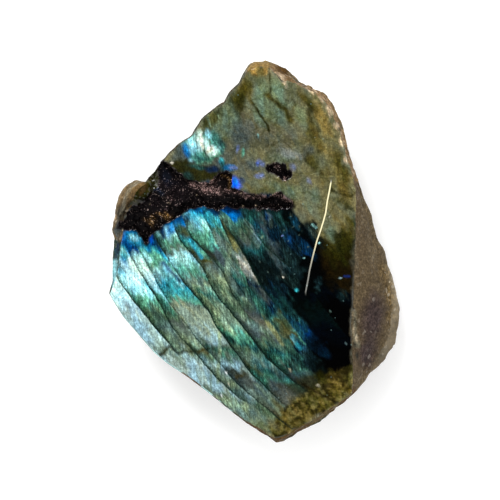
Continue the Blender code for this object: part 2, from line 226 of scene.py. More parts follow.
def lumps(place, size, seed):
    """Smooth noise from -1 to 1: random values on a lattice this size, eased between."""
    table = np.random.RandomState(seed).uniform(-1, 1, (32, 32, 32))
    spot = place / size
    base = np.floor(spot).astype(int)
    part = spot - base
    part = part * part * (3 - 2 * part)
    total = np.zeros(place.shape[:-1])
    for corner in np.ndindex(2, 2, 2):
        index = tuple(((base + corner) % 32)[..., axis] for axis in range(3))
        weight = np.prod(np.where(corner, part, 1 - part), axis=-1)
        total += table[index] * weight
    return total


def chips(place, size, seed, tilt):
    """Broken facets from -1 to 1: the nearest of scattered cells gives a level and a slope."""
    table = np.random.RandomState(seed)
    centre = table.uniform(0.1, 0.9, (16, 16, 16, 3))
    level = table.uniform(-1, 1, (16, 16, 16))
    slope = table.uniform(-tilt, tilt, (16, 16, 16, 3))
    spot = place / size
    base = np.floor(spot).astype(int)
    nearest = np.full(place.shape[:-1], np.inf)
    value = np.zeros(place.shape[:-1])
    for step in np.ndindex(3, 3, 3):
        cell = base + step - 1
        index = tuple((cell % 16)[..., axis] for axis in range(3))
        off = spot - cell - centre[index]
        distance = np.sqrt((off * off).sum(axis=-1))
        here = level[index] + (slope[index] * off).sum(axis=-1)
        value = np.where(distance < nearest, here, value)
        nearest = np.minimum(distance, nearest)
    return np.clip(value, -1, 1)


def rise(value, start, end):
    """0 before start, 1 after end, and a straight line between them."""
    return np.clip((value - start) / (end - start), 0, 1)


def level_with(x, y):
    """Places in one level plane, for noise that mustn't change with height."""
    return np.stack([x, y, 0 * x], axis=-1)


def outside_of(outline, x, y):
    """Signed distance to a closed outline: negative inside it."""
    nearest = np.full(x.shape, np.inf)
    inside = np.zeros(x.shape, bool)
    for (ax, ay), (bx, by) in zip(outline, np.roll(outline, -1, axis=0)):
        run_x, run_y = bx - ax, by - ay
        share = np.clip(((x - ax) * run_x + (y - ay) * run_y) / (run_x ** 2 + run_y ** 2), 0, 1)
        nearest = np.minimum(nearest, np.hypot(x - ax - share * run_x, y - ay - share * run_y))
        crossing = (ay > y) != (by > y)
        climb = np.where(run_y == 0, 1.0, run_y)
        inside ^= crossing & (x < ax + (y - ay) / climb * run_x)
    return np.where(inside, -nearest, nearest)


def stone_surface(turn, fall):
    """Points of the stone, in millimetres, with their distance outside the hollows.

    fall is -1 at the middle of the polished face, 0 on its edge, 1 on the widest line,
    2 on the edge of the base and 3 at its middle. Chips and lumps push the broken stone
    inwards, and the hollows take the face down to a lumpy floor.
    """
    edge = around(EDGE, turn)
    widest = around(WIDEST, turn)
    plain_edge = np.hypot(edge[..., 0], edge[..., 1]) - 0.5 * edge[..., 2]
    rim = level_with(edge[..., 0], edge[..., 1])
    nibble = 0.6 * lumps(rim, 0.9, 5) + 0.7 * chips(rim, 1.9, 6, 0.6)
    edge_reach = plain_edge - edge[..., 2] * nibble
    widest_reach = np.hypot(widest[..., 0], widest[..., 1]) * (1 + widest[..., 2] / EYE_ABOVE)
    wide = level_with(widest[..., 0], widest[..., 1])
    ragged = np.clip(edge[..., 2], 0.03, 0.3)
    frayed = ragged * (0.1 + 0.6 * lumps(wide, 1.1, 7) + 0.5 * chips(wide, 2.3, 8, 0.6))
    drop = widest[..., 2]
    out = np.clip(fall, 0, 1)
    down = np.clip(fall - 1, 0, 1)
    inward = np.clip(fall - 2, 0, 1)
    widest_reach = widest_reach - frayed * rise(out, 0.7, 1.0)
    widest_reach = np.maximum(widest_reach, edge_reach + SMALLEST_BEVEL)
    start_reach = edge_reach + (plain_edge - edge_reach) * rise(out, 0, 0.15)
    start_reach = np.minimum(start_reach, widest_reach)
    shoulder_reach = start_reach + (widest_reach - start_reach) * out
    height = (THICKNESS - drop * out ** widest[..., 3]) * (1 - down)
    deepening = rise(down, 0, LEDGES_DEEPEN)
    reach = np.minimum(shoulder_reach, broken_reach(turn, height))
    reach = np.where(down > 0, reach - ledges(turn, height) * deepening, shoulder_reach)

    x, y = reach * np.cos(turn), reach * np.sin(turn)
    place = np.stack([x, y, height], axis=-1)
    chipped = 0.55 * chips(place, 3.4, 11, 0.9) + 0.35 * chips(place, 1.7, 12, 0.9)
    chipped = chipped + 0.25 * lumps(place, 0.9, 13)
    slope_room = rise(drop, 0, 4) * rise(out, 0, 0.12) * rise(1 - out, 0, 0.1)
    slope_bite = slope_room * (SHOULDER_BITE + RIM_BITE * rise(out, 0.55, 0.8))
    bite = np.where(fall <= 1, slope_bite, FLANK_BITE * deepening * rise(2 - fall, 0, 0.04))
    reach = reach - bite * (0.8 + chipped)
    reach = np.where(fall < 0, edge_reach * (1 + np.minimum(fall, 0)), reach) * (1 - inward)
    x, y = reach * np.cos(turn), reach * np.sin(turn)
    seen_flat = level_with(x, y)
    dent = BASE_DENT * rise(inward, 0, 0.15) * rise(1 - inward, 0, 0.15)
    height = height + np.where(fall > 2, dent * np.maximum(0, 0.3 + chips(seen_flat, 5.0, 14, 0.5)), 0)

    outside = np.minimum(outside_of(HOLLOW, x, y), outside_of(PIT, x, y))
    depth = np.where(outside_of(PIT, x, y) < 0.6, PIT_DEPTH, HOLLOW_DEPTH)
    wander = OUTLINE_WANDER * lumps(seen_flat, 1.0, 21)
    wall = rise(wander - outside, 0, WALL_RUN)
    floor = depth + 0.45 * lumps(seen_flat, 2.2, 22) + 0.35 * chips(seen_flat, 1.1, 23, 0.9)
    carved = THICKNESS - np.maximum(floor, SHALLOWEST) * wall
    on_top = (fall <= 1) & (wall > 0)
    height = np.where(on_top, np.minimum(height, carved), height)
    return np.stack([x, y, height], axis=-1), outside - wander


# The grid closes round the stone, and one point each at its top and foot closes the ends
rows = np.r_[np.linspace(-1, 0, FACE_ROWS + 1)[1:], np.linspace(0, 1, SHOULDER_ROWS + 1)[1:],
             np.linspace(1, 2, FLANK_ROWS + 1)[1:], np.linspace(2, 3, BASE_ROWS + 1)[1:-1]]
spokes = np.arange(SPOKES) / SPOKES * 2 * np.pi - np.pi
fall, turn = np.meshgrid(rows, spokes, indexing="ij")
grid, hollow_outside = stone_surface(turn, fall)
points = np.vstack([grid.reshape(-1, 3), [[0, 0, THICKNESS]], [[0, 0, 0]]])
count = len(rows)
ring = np.arange(count * SPOKES).reshape(count, SPOKES)
following = np.roll(ring, -1, axis=1)
quads = np.stack([ring[:-1], ring[1:], following[1:], following[:-1]], axis=-1).reshape(-1, 4)
top, bottom = count * SPOKES, count * SPOKES + 1
cap = np.stack([np.full(SPOKES, top), ring[0], following[0]], axis=-1)
foot = np.stack([np.full(SPOKES, bottom), following[-1], ring[-1]], axis=-1)
stone_data = bpy.data.meshes.new("labradorite_stone")
stone_data.from_pydata(points * METRES, [], quads.tolist() + cap.tolist() + foot.tolist())
stone_data.update()
stone = bpy.data.objects.new("labradorite_stone", stone_data)
bpy.context.scene.collection.objects.link(stone)
stone_data.shade_smooth()
stone_data.set_sharp_from_angle(angle=np.radians(SHARP_ANGLE))

# The polished face's colours
# The face shows what lies in the stone: sage and olive feldspar above, blue-green flash in
# leaning lamellae below, and clear dark stone at the right. Colours are laid on as lanes
# between the cracks, soft areas, ovals and strokes.
PICTURE_SCALE = 0.22      # millimetres across one five-hundredth of the picture, at the face
STONE_IN_PICTURE = (254.25, 251.75)
POLISH_DEPTH = 1.32       # a polish deepens a colour: its linear value is raised to this

# Red, green and blue as in the picture, how much of it is flash, how fibrous it is
PIGMENTS = {
    "sage": (116, 131, 112, 0, .2), "pale_sage": (130, 147, 122, 0, .25), "lichen": (100, 104, 66, 0, .8),
    "khaki": (124, 124, 98, 0, .1), "dove": (112, 114, 102, 0, .15), "slate": (86, 98, 98, 0, .4),
    "olive": (92, 88, 42, 0, .2), "dark_olive": (58, 58, 20, 0, .3), "moss": (104, 98, 48, 0, .3),
    "ochre_olive": (146, 134, 88, 0, .25), "bronze": (116, 106, 60, 0, .3), "rust": (104, 90, 42, 0, .2),
    "straw": (190, 160, 98, 0, .2), "tan": (146, 150, 112, .1, .6), "umber": (96, 76, 54, 0, .2),
    "coffee": (46, 38, 16, 0, .1), "cream": (205, 198, 178, 0, 0), "black": (2, 2, 3, 0, 0),
    "rose_grey": (164, 166, 158, .2, .7), "bone": (152, 166, 148, .3, .5), "ash": (112, 132, 124, .3, .7),
    "reed": (138, 158, 136, .4, .8), "jade": (96, 121, 103, .5, .9), "sea": (78, 128, 116, .7, .9),
    "pearl": (158, 186, 190, .5, .5), "mist": (166, 189, 190, .4, .5), "ice": (206, 240, 238, 1, .5),
    "white": (250, 252, 248, .6, 0), "pale_cyan": (166, 218, 224, 1, .7), "cyan": (68, 166, 182, 1, .8),
    "mint": (104, 164, 148, .9, .8), "azure": (14, 128, 186, 1, .7), "royal": (16, 112, 226, 1, .3),
    "lilac": (128, 148, 205, .7, .2), "deep_blue": (4, 62, 104, .8, .7), "navy": (20, 58, 82, .5, 1.4),
    "teal": (44, 90, 90, .6, 1.1), "ink": (34, 54, 56, .2, 1.4),
}


def paint(name):
    """A pigment as linear red, green, blue, flash and fibre."""
    red, green, blue, flash, fibre = PIGMENTS[name]
    colour = np.array([red, green, blue]) / 255
    colour = np.where(colour < 0.04045, colour / 12.92, ((colour + 0.055) / 1.055) ** 2.4)
    return np.r_[colour ** POLISH_DEPTH, flash, fibre]


def eased(value, start, end):
    """0 before start, 1 after end, and a smooth rise between them."""
    share = np.clip((value - start) / (end - start), 0, 1)
    return share * share * (3 - 2 * share)


# Each point's place in the picture. A steep side shows there as a thin line, whose colours
# would run down it in stripes, so its points read places scattered round their own.
STEEP_DEPTH = 1.5         # how far under a gentle slope from the edge counts as fully steep
GENTLE_SLOPE = 1.6        # depth for each step outwards
SCATTER = 14
across = STONE_IN_PICTURE[0] + points[:, 0] / PICTURE_SCALE
downward = STONE_IN_PICTURE[1] - points[:, 1] / PICTURE_SCALE
fall_of = np.r_[fall.ravel(), -1, 3]
depth = THICKNESS - points[:, 2]
edge_here = around(EDGE, np.arctan2(points[:, 1], points[:, 0]))
beyond = np.hypot(points[:, 0], points[:, 1]) - np.hypot(edge_here[:, 0], edge_here[:, 1])
steep = rise(depth - GENTLE_SLOPE * np.clip(beyond, 0, None), 0, STEEP_DEPTH) * (fall_of > 0)
across = across + SCATTER * steep * lumps(points, 1.4, 28)
downward = downward + SCATTER * steep * lumps(points, 1.4, 29)
flat_place = level_with(across, downward)

# Edges between colours wander. In the flashing part, under the hollow, they also run out in
# streaks along the lamellae, less so at the lower point.
LANE_LEAN = np.radians(51.5)      # lamellae run down to the right at this angle
STREAK_LENGTH = 16
STREAK_WIDTH = 2.4
STREAKS_START = (196, 214)        # they set in over this stretch down the picture
STREAKS_FADE = (590, 625)         # and fade over this stretch of 0.8 across + downward
along = across * np.cos(LANE_LEAN) + downward * np.sin(LANE_LEAN)
sideways = across * np.sin(LANE_LEAN) - downward * np.cos(LANE_LEAN)
drawn_out = level_with(along / STREAK_LENGTH, sideways / STREAK_WIDTH)
streaky = 5 * lumps(drawn_out, 1.0, 37) + 4 * lumps(drawn_out, 2.1, 40)
streaky = streaky * eased(downward, *STREAKS_START)
streaky = streaky * (1 - 0.85 * eased(0.8 * across + downward, *STREAKS_FADE))


def wandering(coarse, middle, fine):
    """Noise of three seeds: lumps of 9, 3.6 and 1.7 points that shift by 3, 1.6 and 0.8."""
    return (3.0 * lumps(flat_place, 9.0, coarse) + 1.6 * lumps(flat_place, 3.6, middle)
            + 0.8 * lumps(flat_place, 1.7, fine))


wander_across = wandering(31, 32, 38)
wander_down = streaky + wandering(33, 34, 39)

# Cracks between the lamellae, lower left to upper right. Each has its places in the
# picture and how dark it is there. A darkness of 0 only leads the lane on.
CRACKS = [
    [(112, 268, .6), (120, 281, .9), (133, 300, 1.1), (147, 317, 1.3), (161, 334, 1.3), (170, 344, .9),
     (178, 354, .6), (184, 362, 0)],
    [(126, 246, 0), (130, 254, .7), (136, 265, .7), (147, 283, 1), (160, 303, 1.1), (170, 323, .9),
     (180, 337, .7), (200, 358, .9), (214, 375, 1), (228, 388, .8), (238, 397, .7), (250, 403, .4),
     (258, 410, 0)],
    [(136, 245, 0), (140, 252, .5), (152, 272, .6), (160, 288, .9), (170, 304, .8), (181, 317, .5),
     (190, 330, .7), (203, 347, .8), (213, 356, .6), (223, 367, .7), (232, 378, .9), (248, 393, .8),
     (264, 406, .8), (278, 418, .9), (291, 428, .5)],
    [(150, 230, 0), (157, 241, .9), (165, 253, .9), (173, 267, .5), (184, 283, 1), (197, 297, 1.2),
     (208, 310, 1.2), (217, 327, 1.1), (228, 342, 1.2), (240, 358, 1), (252, 374, 1.1), (265, 386, .9),
     (278, 399, .9), (286, 407, 0)],
    [(172, 219, .2), (176, 230, .9), (180, 240, 1.1), (192, 254, .9), (202, 267, .9), (210, 284, 1.1),
     (219, 298, 1.2), (231, 312, 1.2), (243, 327, 1.2), (256, 344, 1.4), (268, 359, 1.5),
     (282, 371, 1.2), (301, 387, .7), (308, 393, 0)],
    [(182, 215, .3), (187, 228, .8), (191, 237, .9), (203, 250, .9), (209, 256, .5), (216, 263, .6),
     (223, 272, .8), (232, 293, .8), (243, 310, .5), (262, 330, 0), (286, 348, 0), (298, 357, .6),
     (312, 373, .8), (322, 390, .7), (337, 401, .5)],
    [(202, 210, 0), (205, 218, .6), (212, 233, .6), (218, 246, .3), (226, 262, 0), (240, 290, 0),
     (252, 306, 0)],
    [(218, 214, .3), (221, 222, .9), (225, 230, 1.1), (229, 240, .8), (233, 248, .3), (237, 258, 0),
     (241, 268, 0), (256, 300, 0)],
    [(222, 220, .4), (227, 228, .9), (233, 236, 1.1), (240, 247, 1.3), (251, 268, 1.3), (260, 285, .9),
     (272, 300, .5), (277, 308, 0)],
    [(240, 212, 0), (246, 222, .4), (252, 230, .6), (264, 245, .7), (270, 251, .9), (282, 261, .9),
     (288, 266, .3), (296, 272, 0)],
]
CRACK_FADE = 6            # a crack runs out over this length past its first and last places
ROOM_BEFORE = 30          # the first lane starts this far before the first crack
ROOM_AFTER = 90           # and the last lane ends this far after the last
crack_sideways = []
crack_darkness = []
for crack in CRACKS:
    stops = np.array(crack, float)
    stop_along = stops[:, 0] * np.cos(LANE_LEAN) + stops[:, 1] * np.sin(LANE_LEAN)
    stop_sideways = stops[:, 0] * np.sin(LANE_LEAN) - stops[:, 1] * np.cos(LANE_LEAN)
    crack_sideways.append(np.interp(along, stop_along, stop_sideways))
    reached = np.r_[stop_along[0] - CRACK_FADE, stop_along, stop_along[-1] + CRACK_FADE]
    crack_darkness.append(np.interp(along, reached, np.r_[0, stops[:, 2], 0]))

# Lanes lie between neighbouring cracks, and keep their order where cracks meet. A point's
# share runs from 0 at its lane's lower left crack to 1 at the other.
NARROWEST = 0.5           # a lane counts as at least this wide
bounds = [crack_sideways[0] - ROOM_BEFORE] + crack_sideways + [crack_sideways[-1] + ROOM_AFTER]
bounds = np.maximum.accumulate(np.array(bounds) + np.arange(len(bounds))[:, None] * 1e-3, axis=0)
darkness = np.array([0 * across] + crack_darkness + [0 * across])
swayed = sideways + 0.5 * lumps(flat_place, 7.0, 35) + 0.25 * lumps(flat_place, 3.0, 36)
lane = np.zeros(len(across), int)
for index in range(1, len(bounds) - 1):
    lane = np.where(swayed > bounds[index], index, lane)
each = np.arange(len(across))
gap = np.maximum(bounds[lane + 1, each] - bounds[lane, each], NARROWEST)
share = np.clip((swayed - bounds[lane, each]) / gap, 0, 0.9999)
lane_value = lane + share
crack_value = darkness[lane, each] * (1 - share) + darkness[lane + 1, each] * share
lane_gap = gap * PICTURE_SCALE

# Colours along each lane: how far down the picture, and the pigment
LANES = [
    [(240, "teal"), (262, "pale_cyan"), (282, "ice"), (298, "ice"), (306, "mist"), (322, "pearl"),
     (342, "pearl"), (354, "ash"), (362, "mist"), (380, "pearl"), (400, "mist")],
    [(236, "azure"), (247, "cyan"), (256, "pale_cyan"), (264, "ice"), (278, "ice"), (288, "pale_cyan"),
     (298, "mint"), (310, "jade"), (318, "jade"), (328, "ash"), (340, "reed"), (350, "reed"),
     (362, "mist"), (374, "pearl"), (388, "mist"), (396, "ash"), (404, "reed"), (412, "ash"),
     (424, "sage")],
    [(240, "azure"), (248, "deep_blue"), (254, "pale_cyan"), (262, "ice"), (276, "ice"),
     (288, "pale_cyan"), (298, "mint"), (306, "sea"), (314, "jade"), (322, "slate"), (332, "ash"),
     (344, "reed"), (352, "jade"), (362, "pearl"), (374, "ash"), (384, "reed"), (394, "ash"),
     (408, "jade"), (420, "sage"), (428, "khaki")],
    [(230, "azure"), (240, "deep_blue"), (248, "cyan"), (256, "mint"), (264, "mint"),
     (272, "pale_cyan"), (284, "cyan"), (297, "mint"), (302, "ash"), (308, "bone"), (326, "bone"),
     (336, "pearl"), (342, "ash"), (350, "sea"), (358, "ash"), (366, "pearl"), (376, "slate"),
     (390, "slate"), (402, "ash"), (414, "dove")],
    [(222, "azure"), (232, "pale_cyan"), (242, "mint"), (250, "ash"), (257, "pale_cyan"), (270, "mint"),
     (280, "ash"), (288, "reed"), (298, "sea"), (308, "reed"), (322, "reed"), (332, "mint"),
     (341, "teal"), (350, "jade"), (360, "ash"), (370, "teal"), (380, "sea"), (388, "slate"),
     (398, "dove")],
    [(214, "deep_blue"), (222, "azure"), (230, "sea"), (238, "jade"), (244, "cyan"), (252, "mint"),
     (260, "olive"), (266, "ash"), (280, "reed"), (290, "jade"), (300, "reed"), (312, "jade"),
     (324, "ash"), (336, "slate"), (344, "jade"), (354, "teal"), (364, "sea"), (374, "slate"),
     (386, "slate"), (398, "olive")],
    [(208, "azure"), (214, "cyan"), (222, "pale_cyan"), (236, "mint"), (246, "mint"), (252, "slate"),
     (262, "slate"), (270, "jade"), (280, "ash"), (292, "reed"), (300, "jade"), (310, "slate"),
     (320, "dove"), (330, "ash"), (340, "slate"), (348, "ink"), (366, "ink"), (384, "olive")],
    [(207, "azure"), (216, "cyan"), (228, "sea"), (238, "ash"), (250, "ash"), (258, "jade"),
     (268, "ash"), (276, "sea"), (284, "teal"), (296, "jade"), (306, "slate"), (318, "teal"),
     (332, "jade"), (342, "slate"), (352, "ink"), (364, "ink")],
    [(210, "deep_blue"), (220, "slate"), (226, "dark_olive"), (234, "tan"), (244, "tan"), (252, "ash"),
     (260, "rose_grey"), (272, "rose_grey"), (278, "ash"), (284, "navy"), (292, "slate"), (304, "navy"),
     (316, "sea"), (328, "jade"), (338, "teal"), (350, "navy"), (360, "ink"), (372, "black")],
    [(206, "deep_blue"), (214, "azure"), (220, "sea"), (230, "jade"), (240, "slate"), (250, "teal"),
     (258, "ink"), (266, "ink"), (282, "ink"), (292, "navy"), (304, "teal"), (316, "teal"),
     (330, "navy"), (350, "black"), (372, "black")],
    [(206, "navy"), (214, "teal"), (224, "teal"), (236, "navy"), (246, "navy"), (258, "ink"),
     (270, "black"), (290, "ink"), (300, "navy"), (310, "black"), (380, "black")],
]
LANE_SLANT = 5            # a lane's colours lie this much lower on its upper right side
tint = np.zeros((len(across), 5))
for index, stops in enumerate(LANES):
    place = np.array([stop[0] for stop in stops], float)
    colours = np.array([paint(stop[1]) for stop in stops])
    here = lane == index
    level = downward[here] + wander_down[here] + 0.6 * wander_across[here]
    level = level - LANE_SLANT * (share[here] - 0.5)
    tint[here] = np.stack([np.interp(level, place, colours[:, part]) for part in range(5)], axis=1)


def lay(pigment, weight):
    """Covers the colour so far with a pigment, by a weight from 0 to 1 at each point."""
    tint[:] += (paint(pigment) - tint) * np.clip(weight, 0, 1)[:, None]


def outside_in_picture(outline, wander=0.0):
    """Signed distance to an outline in the picture, negative inside it."""
    x, y = across + wander * wander_across, downward + wander * wander_down
    return outside_of(np.array(outline, float), x, y)


def area(pigment, outline, strength=1.0, soft=5.0, wander=1.0):
    """A patch of colour inside an outline in the picture, with an edge this soft."""
    outside = outside_in_picture(outline, wander)
    lay(pigment, strength * (1 - eased(outside, -soft / 2, soft / 2)))


def wash(pigment, x, y, reach, width, lean=0.0, strength=1.0, wander=0.6):
    """A soft oval of colour: its middle, half length, half width and lean in the picture."""
    turn_to = np.radians(lean)
    off_x = across + wander * wander_across - x
    off_y = downward + wander * wander_down - y
    lengthways = (off_x * np.cos(turn_to) + off_y * np.sin(turn_to)) / reach
    crossways = (off_y * np.cos(turn_to) - off_x * np.sin(turn_to)) / width
    lay(pigment, strength * (1 - eased(np.hypot(lengthways, crossways), 0.35, 1.2)))


def stroke(pigment, path, width, strength=1.0, wander=0.0):
    """A soft line of colour along a path in the picture, this wide."""
    nearest = np.full(len(across), np.inf)
    x, y = across + wander * wander_across, downward + wander * wander_down
    for (ax, ay), (bx, by) in zip(path[:-1], path[1:]):
        run_x, run_y = bx - ax, by - ay
        off = np.clip(((x - ax) * run_x + (y - ay) * run_y) / (run_x ** 2 + run_y ** 2), 0, 1)
        nearest = np.minimum(nearest, np.hypot(x - ax - off * run_x, y - ay - off * run_y))
    lay(pigment, strength * (1 - eased(nearest, width * 0.2, width * 0.9)))


def washes(*rows):
    """Ovals laid one over another. Each row holds what wash takes, in its order."""
    for row in rows:
        wash(*row)


def strokes(*rows):
    """Lines laid one over another. Each row holds what stroke takes, in its order."""
    for row in rows:
        stroke(*row)


# Clear dark stone at the right of the face, and the olive stone round it
area("ink", [(256, 207), (292, 203), (304, 216), (318, 228), (320, 260), (306, 300), (316, 330),
             (324, 372), (304, 366), (298, 350), (300, 332), (286, 306), (272, 290), (262, 274),
             (258, 260), (264, 244), (256, 224)], .6, 10, 1.6)
area("black", [(276, 200), (292, 203), (300, 214), (316, 226), (330, 240), (344, 250), (358, 262),
               (358, 374), (330, 374), (316, 366), (310, 352), (316, 338), (304, 322), (290, 306),
               (280, 290), (296, 280), (304, 262), (296, 240), (282, 222)], .94, 9, 1.8)
area("black", [(256, 262), (266, 256), (276, 270), (284, 284), (276, 290), (262, 278)], .6, 8, 1.2)

# Faint flash that shows through the dark stone
washes(("slate", 262, 226, 16, 6, 70, .8, 1), ("teal", 258, 244, 16, 5, 66, .7, 1),
       ("slate", 272, 250, 16, 6, 55, .7, 1), ("teal", 256, 218, 9, 5, 40, .8, 1),
       ("slate", 281, 268, 11, 5, 60, .6, 1), ("sea", 262, 240, 12, 2, 62, .5, .6),
       ("teal", 246, 226, 10, 4, 60, .5, 1), ("teal", 276, 298, 10, 5, 55, .7, 1),
       ("deep_blue", 268, 218, 5, 4, 60, .6, 1), ("navy", 274, 232, 14, 6, 75, .8, 1),
       ("teal", 295, 222, 8, 5, 60, .5, 1), ("navy", 295, 222, 8, 5, 60, .6, 1),
       ("navy", 290, 243, 12, 7, 70, .7, 1), ("deep_blue", 289, 240, 6, 3, 90, .5, 1),
       ("navy", 306, 250, 12, 5, 40, .9, 1), ("deep_blue", 304, 253, 7, 2.5, 30, .6, 1),
       ("ink", 316, 236, 10, 6, 60, .8, 1), ("ink", 296, 268, 14, 5, 60, .8, 1),
       ("navy", 306, 336, 17, 11, 40, .9, 1), ("deep_blue", 305, 331, 12, 6, 50, .8, 1),
       ("teal", 298, 330, 8, 5, 60, .5, 1), ("navy", 322, 350, 12, 6, 30, .5, 1),
       ("ink", 344, 294, 10, 6, 100, .9, 1), ("ink", 318, 284, 7, 5, 100, .9, 1))
area("coffee", [(320, 246), (358, 236), (358, 290), (336, 290), (326, 276)], .9, 16, 1.6)
area("dark_olive", [(318, 228), (340, 218), (358, 212), (358, 254), (342, 262), (326, 250)], .95, 16, 1.6)

# Upper half: khaki stone, clouded with sage and dove grey
area("khaki", [(220, 80), (244, 40), (310, 40), (380, 130), (375, 220), (344, 226), (332, 236),
               (322, 236), (312, 227), (300, 218), (291, 205), (288, 197), (236, 193), (226, 176),
               (186, 186), (152, 190), (120, 190), (150, 150)], 1, 6, 1.2)
washes(("sage", 225, 122, 34, 16, 120, 1), ("sage", 270, 110, 34, 20, 80, 1),
       ("slate", 240, 138, 22, 14, 100, .8), ("dove", 262, 132, 26, 16, 60, .7),
       ("dove", 240, 168, 30, 14, 0, .7), ("sage", 276, 188, 30, 8, 10, .8),
       ("sage", 298, 192, 14, 8, 10, .6), ("pale_sage", 262, 92, 16, 8, 85, .9),
       ("pale_sage", 277, 92, 18, 8, 75, .9), ("pale_sage", 262, 118, 14, 9, 70, .6),
       ("pale_sage", 282, 104, 8, 5, 60, .6), ("pale_sage", 300, 116, 12, 8, 60, .8),
       ("pale_sage", 294, 110, 8, 5, 60, .6), ("dove", 292, 148, 24, 18, 60, .8),
       ("umber", 270, 128, 16, 7, 20, .35, 1), ("umber", 243, 114, 9, 4, 60, .5, 1),
       ("slate", 250, 142, 22, 8, 10, .4, 1), ("sage", 284, 158, 16, 6, 0, .5, 1),
       ("khaki", 256, 186, 26, 6, 5, .8, 1), ("olive", 262, 190, 20, 4, 4, .4, 1),
       ("khaki", 312, 200, 20, 16, 60, .5), ("slate", 306, 152, 12, 8, 110, .8),
       ("olive", 241, 94, 22, 9, 115, 1), ("dark_olive", 240, 104, 14, 5, 110, .8),
       ("lichen", 212, 120, 22, 10, 130, .9, 1))

# Upright streaks along its upper left edge
strokes(("dark_olive", [(204, 116), (206, 130)], 1.8, .6, .5),
        ("dark_olive", [(212, 108), (215, 124)], 2, .6, .5),
        ("dark_olive", [(222, 100), (223, 114)], 2, .6, .5),
        ("dark_olive", [(232, 92), (234, 112)], 2.4, .5, .5),
        ("reed", [(208, 114), (210, 128)], 1.4, .6, .4), ("reed", [(218, 108), (219, 122)], 1.4, .5, .4))
washes(("dark_olive", 218, 112, 8, 2.4, 110, .7), ("dark_olive", 204, 124, 8, 2.4, 115, .6))

# Ochre, bronze and olive bands down its right side
washes(("ochre_olive", 322, 122, 26, 8, 68, 1), ("olive", 307, 102, 18, 5, 45, .9),
       ("dark_olive", 309, 110, 10, 4, 80, .8), ("olive", 309, 128, 14, 4, 95, .8),
       ("bronze", 316, 142, 18, 8, 70, .9), ("dark_olive", 312, 136, 8, 3, 90, .6),
       ("ochre_olive", 328, 152, 12, 7, 75, .6), ("bronze", 341, 180, 34, 8, 74, .9),
       ("olive", 338, 160, 14, 5, 74, .8), ("olive", 343, 172, 16, 4, 75, .8),
       ("dark_olive", 346, 208, 10, 3, 20, .8), ("olive", 340, 203, 12, 4, 15, .8),
       ("olive", 312, 162, 12, 7, 60, .9), ("bronze", 324, 176, 12, 7, 100, .7),
       ("olive", 330, 188, 10, 4, 100, .6), ("khaki", 336, 216, 16, 8, 100, .6),
       ("olive", 347, 228, 12, 8, 70, .7, 1), ("bronze", 338, 220, 10, 5, 60, .5, 1),
       ("dark_olive", 347, 240, 9, 8, 60, .55, 1), ("olive", 330, 240, 8, 5, 30, .5, 1),
       ("dove", 304, 210, 14, 9, 40, .4), ("sage", 314, 196, 10, 6, 80, .6),
       ("pale_sage", 308, 206, 8, 5, 60, .3), ("bronze", 322, 214, 10, 5, 90, .5),
       ("sage", 331, 232, 9, 6, 100, .7), ("dark_olive", 320, 176, 3, 9, 20, .4))

# Flash above the hollow
area("slate", [(176, 142), (194, 128), (232, 150), (232, 176), (212, 182), (186, 182), (166, 166)], .8, 8)
area("mint", [(182, 144), (196, 131), (216, 133), (222, 150), (212, 164), (198, 166), (188, 156)], .85, 5)
washes(("ice", 199, 141, 13, 5, 84, 1, .4), ("ice", 207, 146, 10, 4, 80, .9, .4),
       ("pale_cyan", 192, 145, 12, 5, 75, .9, .4), ("ice", 213, 152, 9, 4, -40, 1, .4),
       ("white", 202, 142, 11, 2.4, 84, .8, .4), ("white", 210, 150, 7, 2.4, -50, .7, .4),
       ("sea", 217, 140, 9, 5, 80, .8, .4), ("teal", 222, 146, 8, 3, 80, .7, .4),
       ("azure", 187, 151, 9, 4, 70, .9, .4))
strokes(("teal", [(203, 130), (204, 146), (206, 158)], 1.6, .6, .4),
        ("teal", [(196, 134), (197, 152), (200, 164)], 1.4, .6, .4),
        ("olive", [(210, 132), (211, 150)], 1.4, .7, .4))
washes(("pale_cyan", 190, 162, 4, 3, 90, .9, .3), ("teal", 204, 160, 8, 3, 10, .7, .5),
       ("cyan", 222, 162, 6, 3, 70, .8, .4))
area("dark_olive", [(168, 160), (186, 158), (196, 166), (216, 168), (226, 172), (214, 182), (186, 184),
                    (170, 176)], .95, 6)
washes(("teal", 198, 168, 12, 3, 10, .7, .6), ("teal", 186, 176, 8, 4, 20, .5, .6),
       ("teal", 224, 168, 6, 4, 60, .8, .4), ("deep_blue", 212, 170, 8, 4, 0, .7, .4),
       ("azure", 230, 168, 7, 4, 0, .9, .4), ("lilac", 233, 168, 5, 2.2, 0, .9, .3),
       ("royal", 235, 183, 8, 6.5, 60, 1, .5), ("cyan", 236, 181, 4, 3, 60, .35, .5),
       ("azure", 231, 186, 4, 3, 60, .8, .4), ("deep_blue", 243, 181, 5, 4, 60, .7, .5),
       ("lilac", 261, 163, 5, 2.6, 30, .8, .3), ("royal", 258, 164, 3, 2, 30, .5, .3),
       ("lilac", 260, 176, 6, 2.5, 0, .75, .3), ("lilac", 293, 168, 5, 4, 60, .3, .4),
       ("lilac", 237, 149, 4, 2, 100, .6, .4), ("mint", 243, 153, 5, 1.8, 90, .9, .2),
       ("slate", 252, 166, 12, 5, 20, .6, .5), ("lilac", 309, 181, 5, 2, 60, .3, .4))

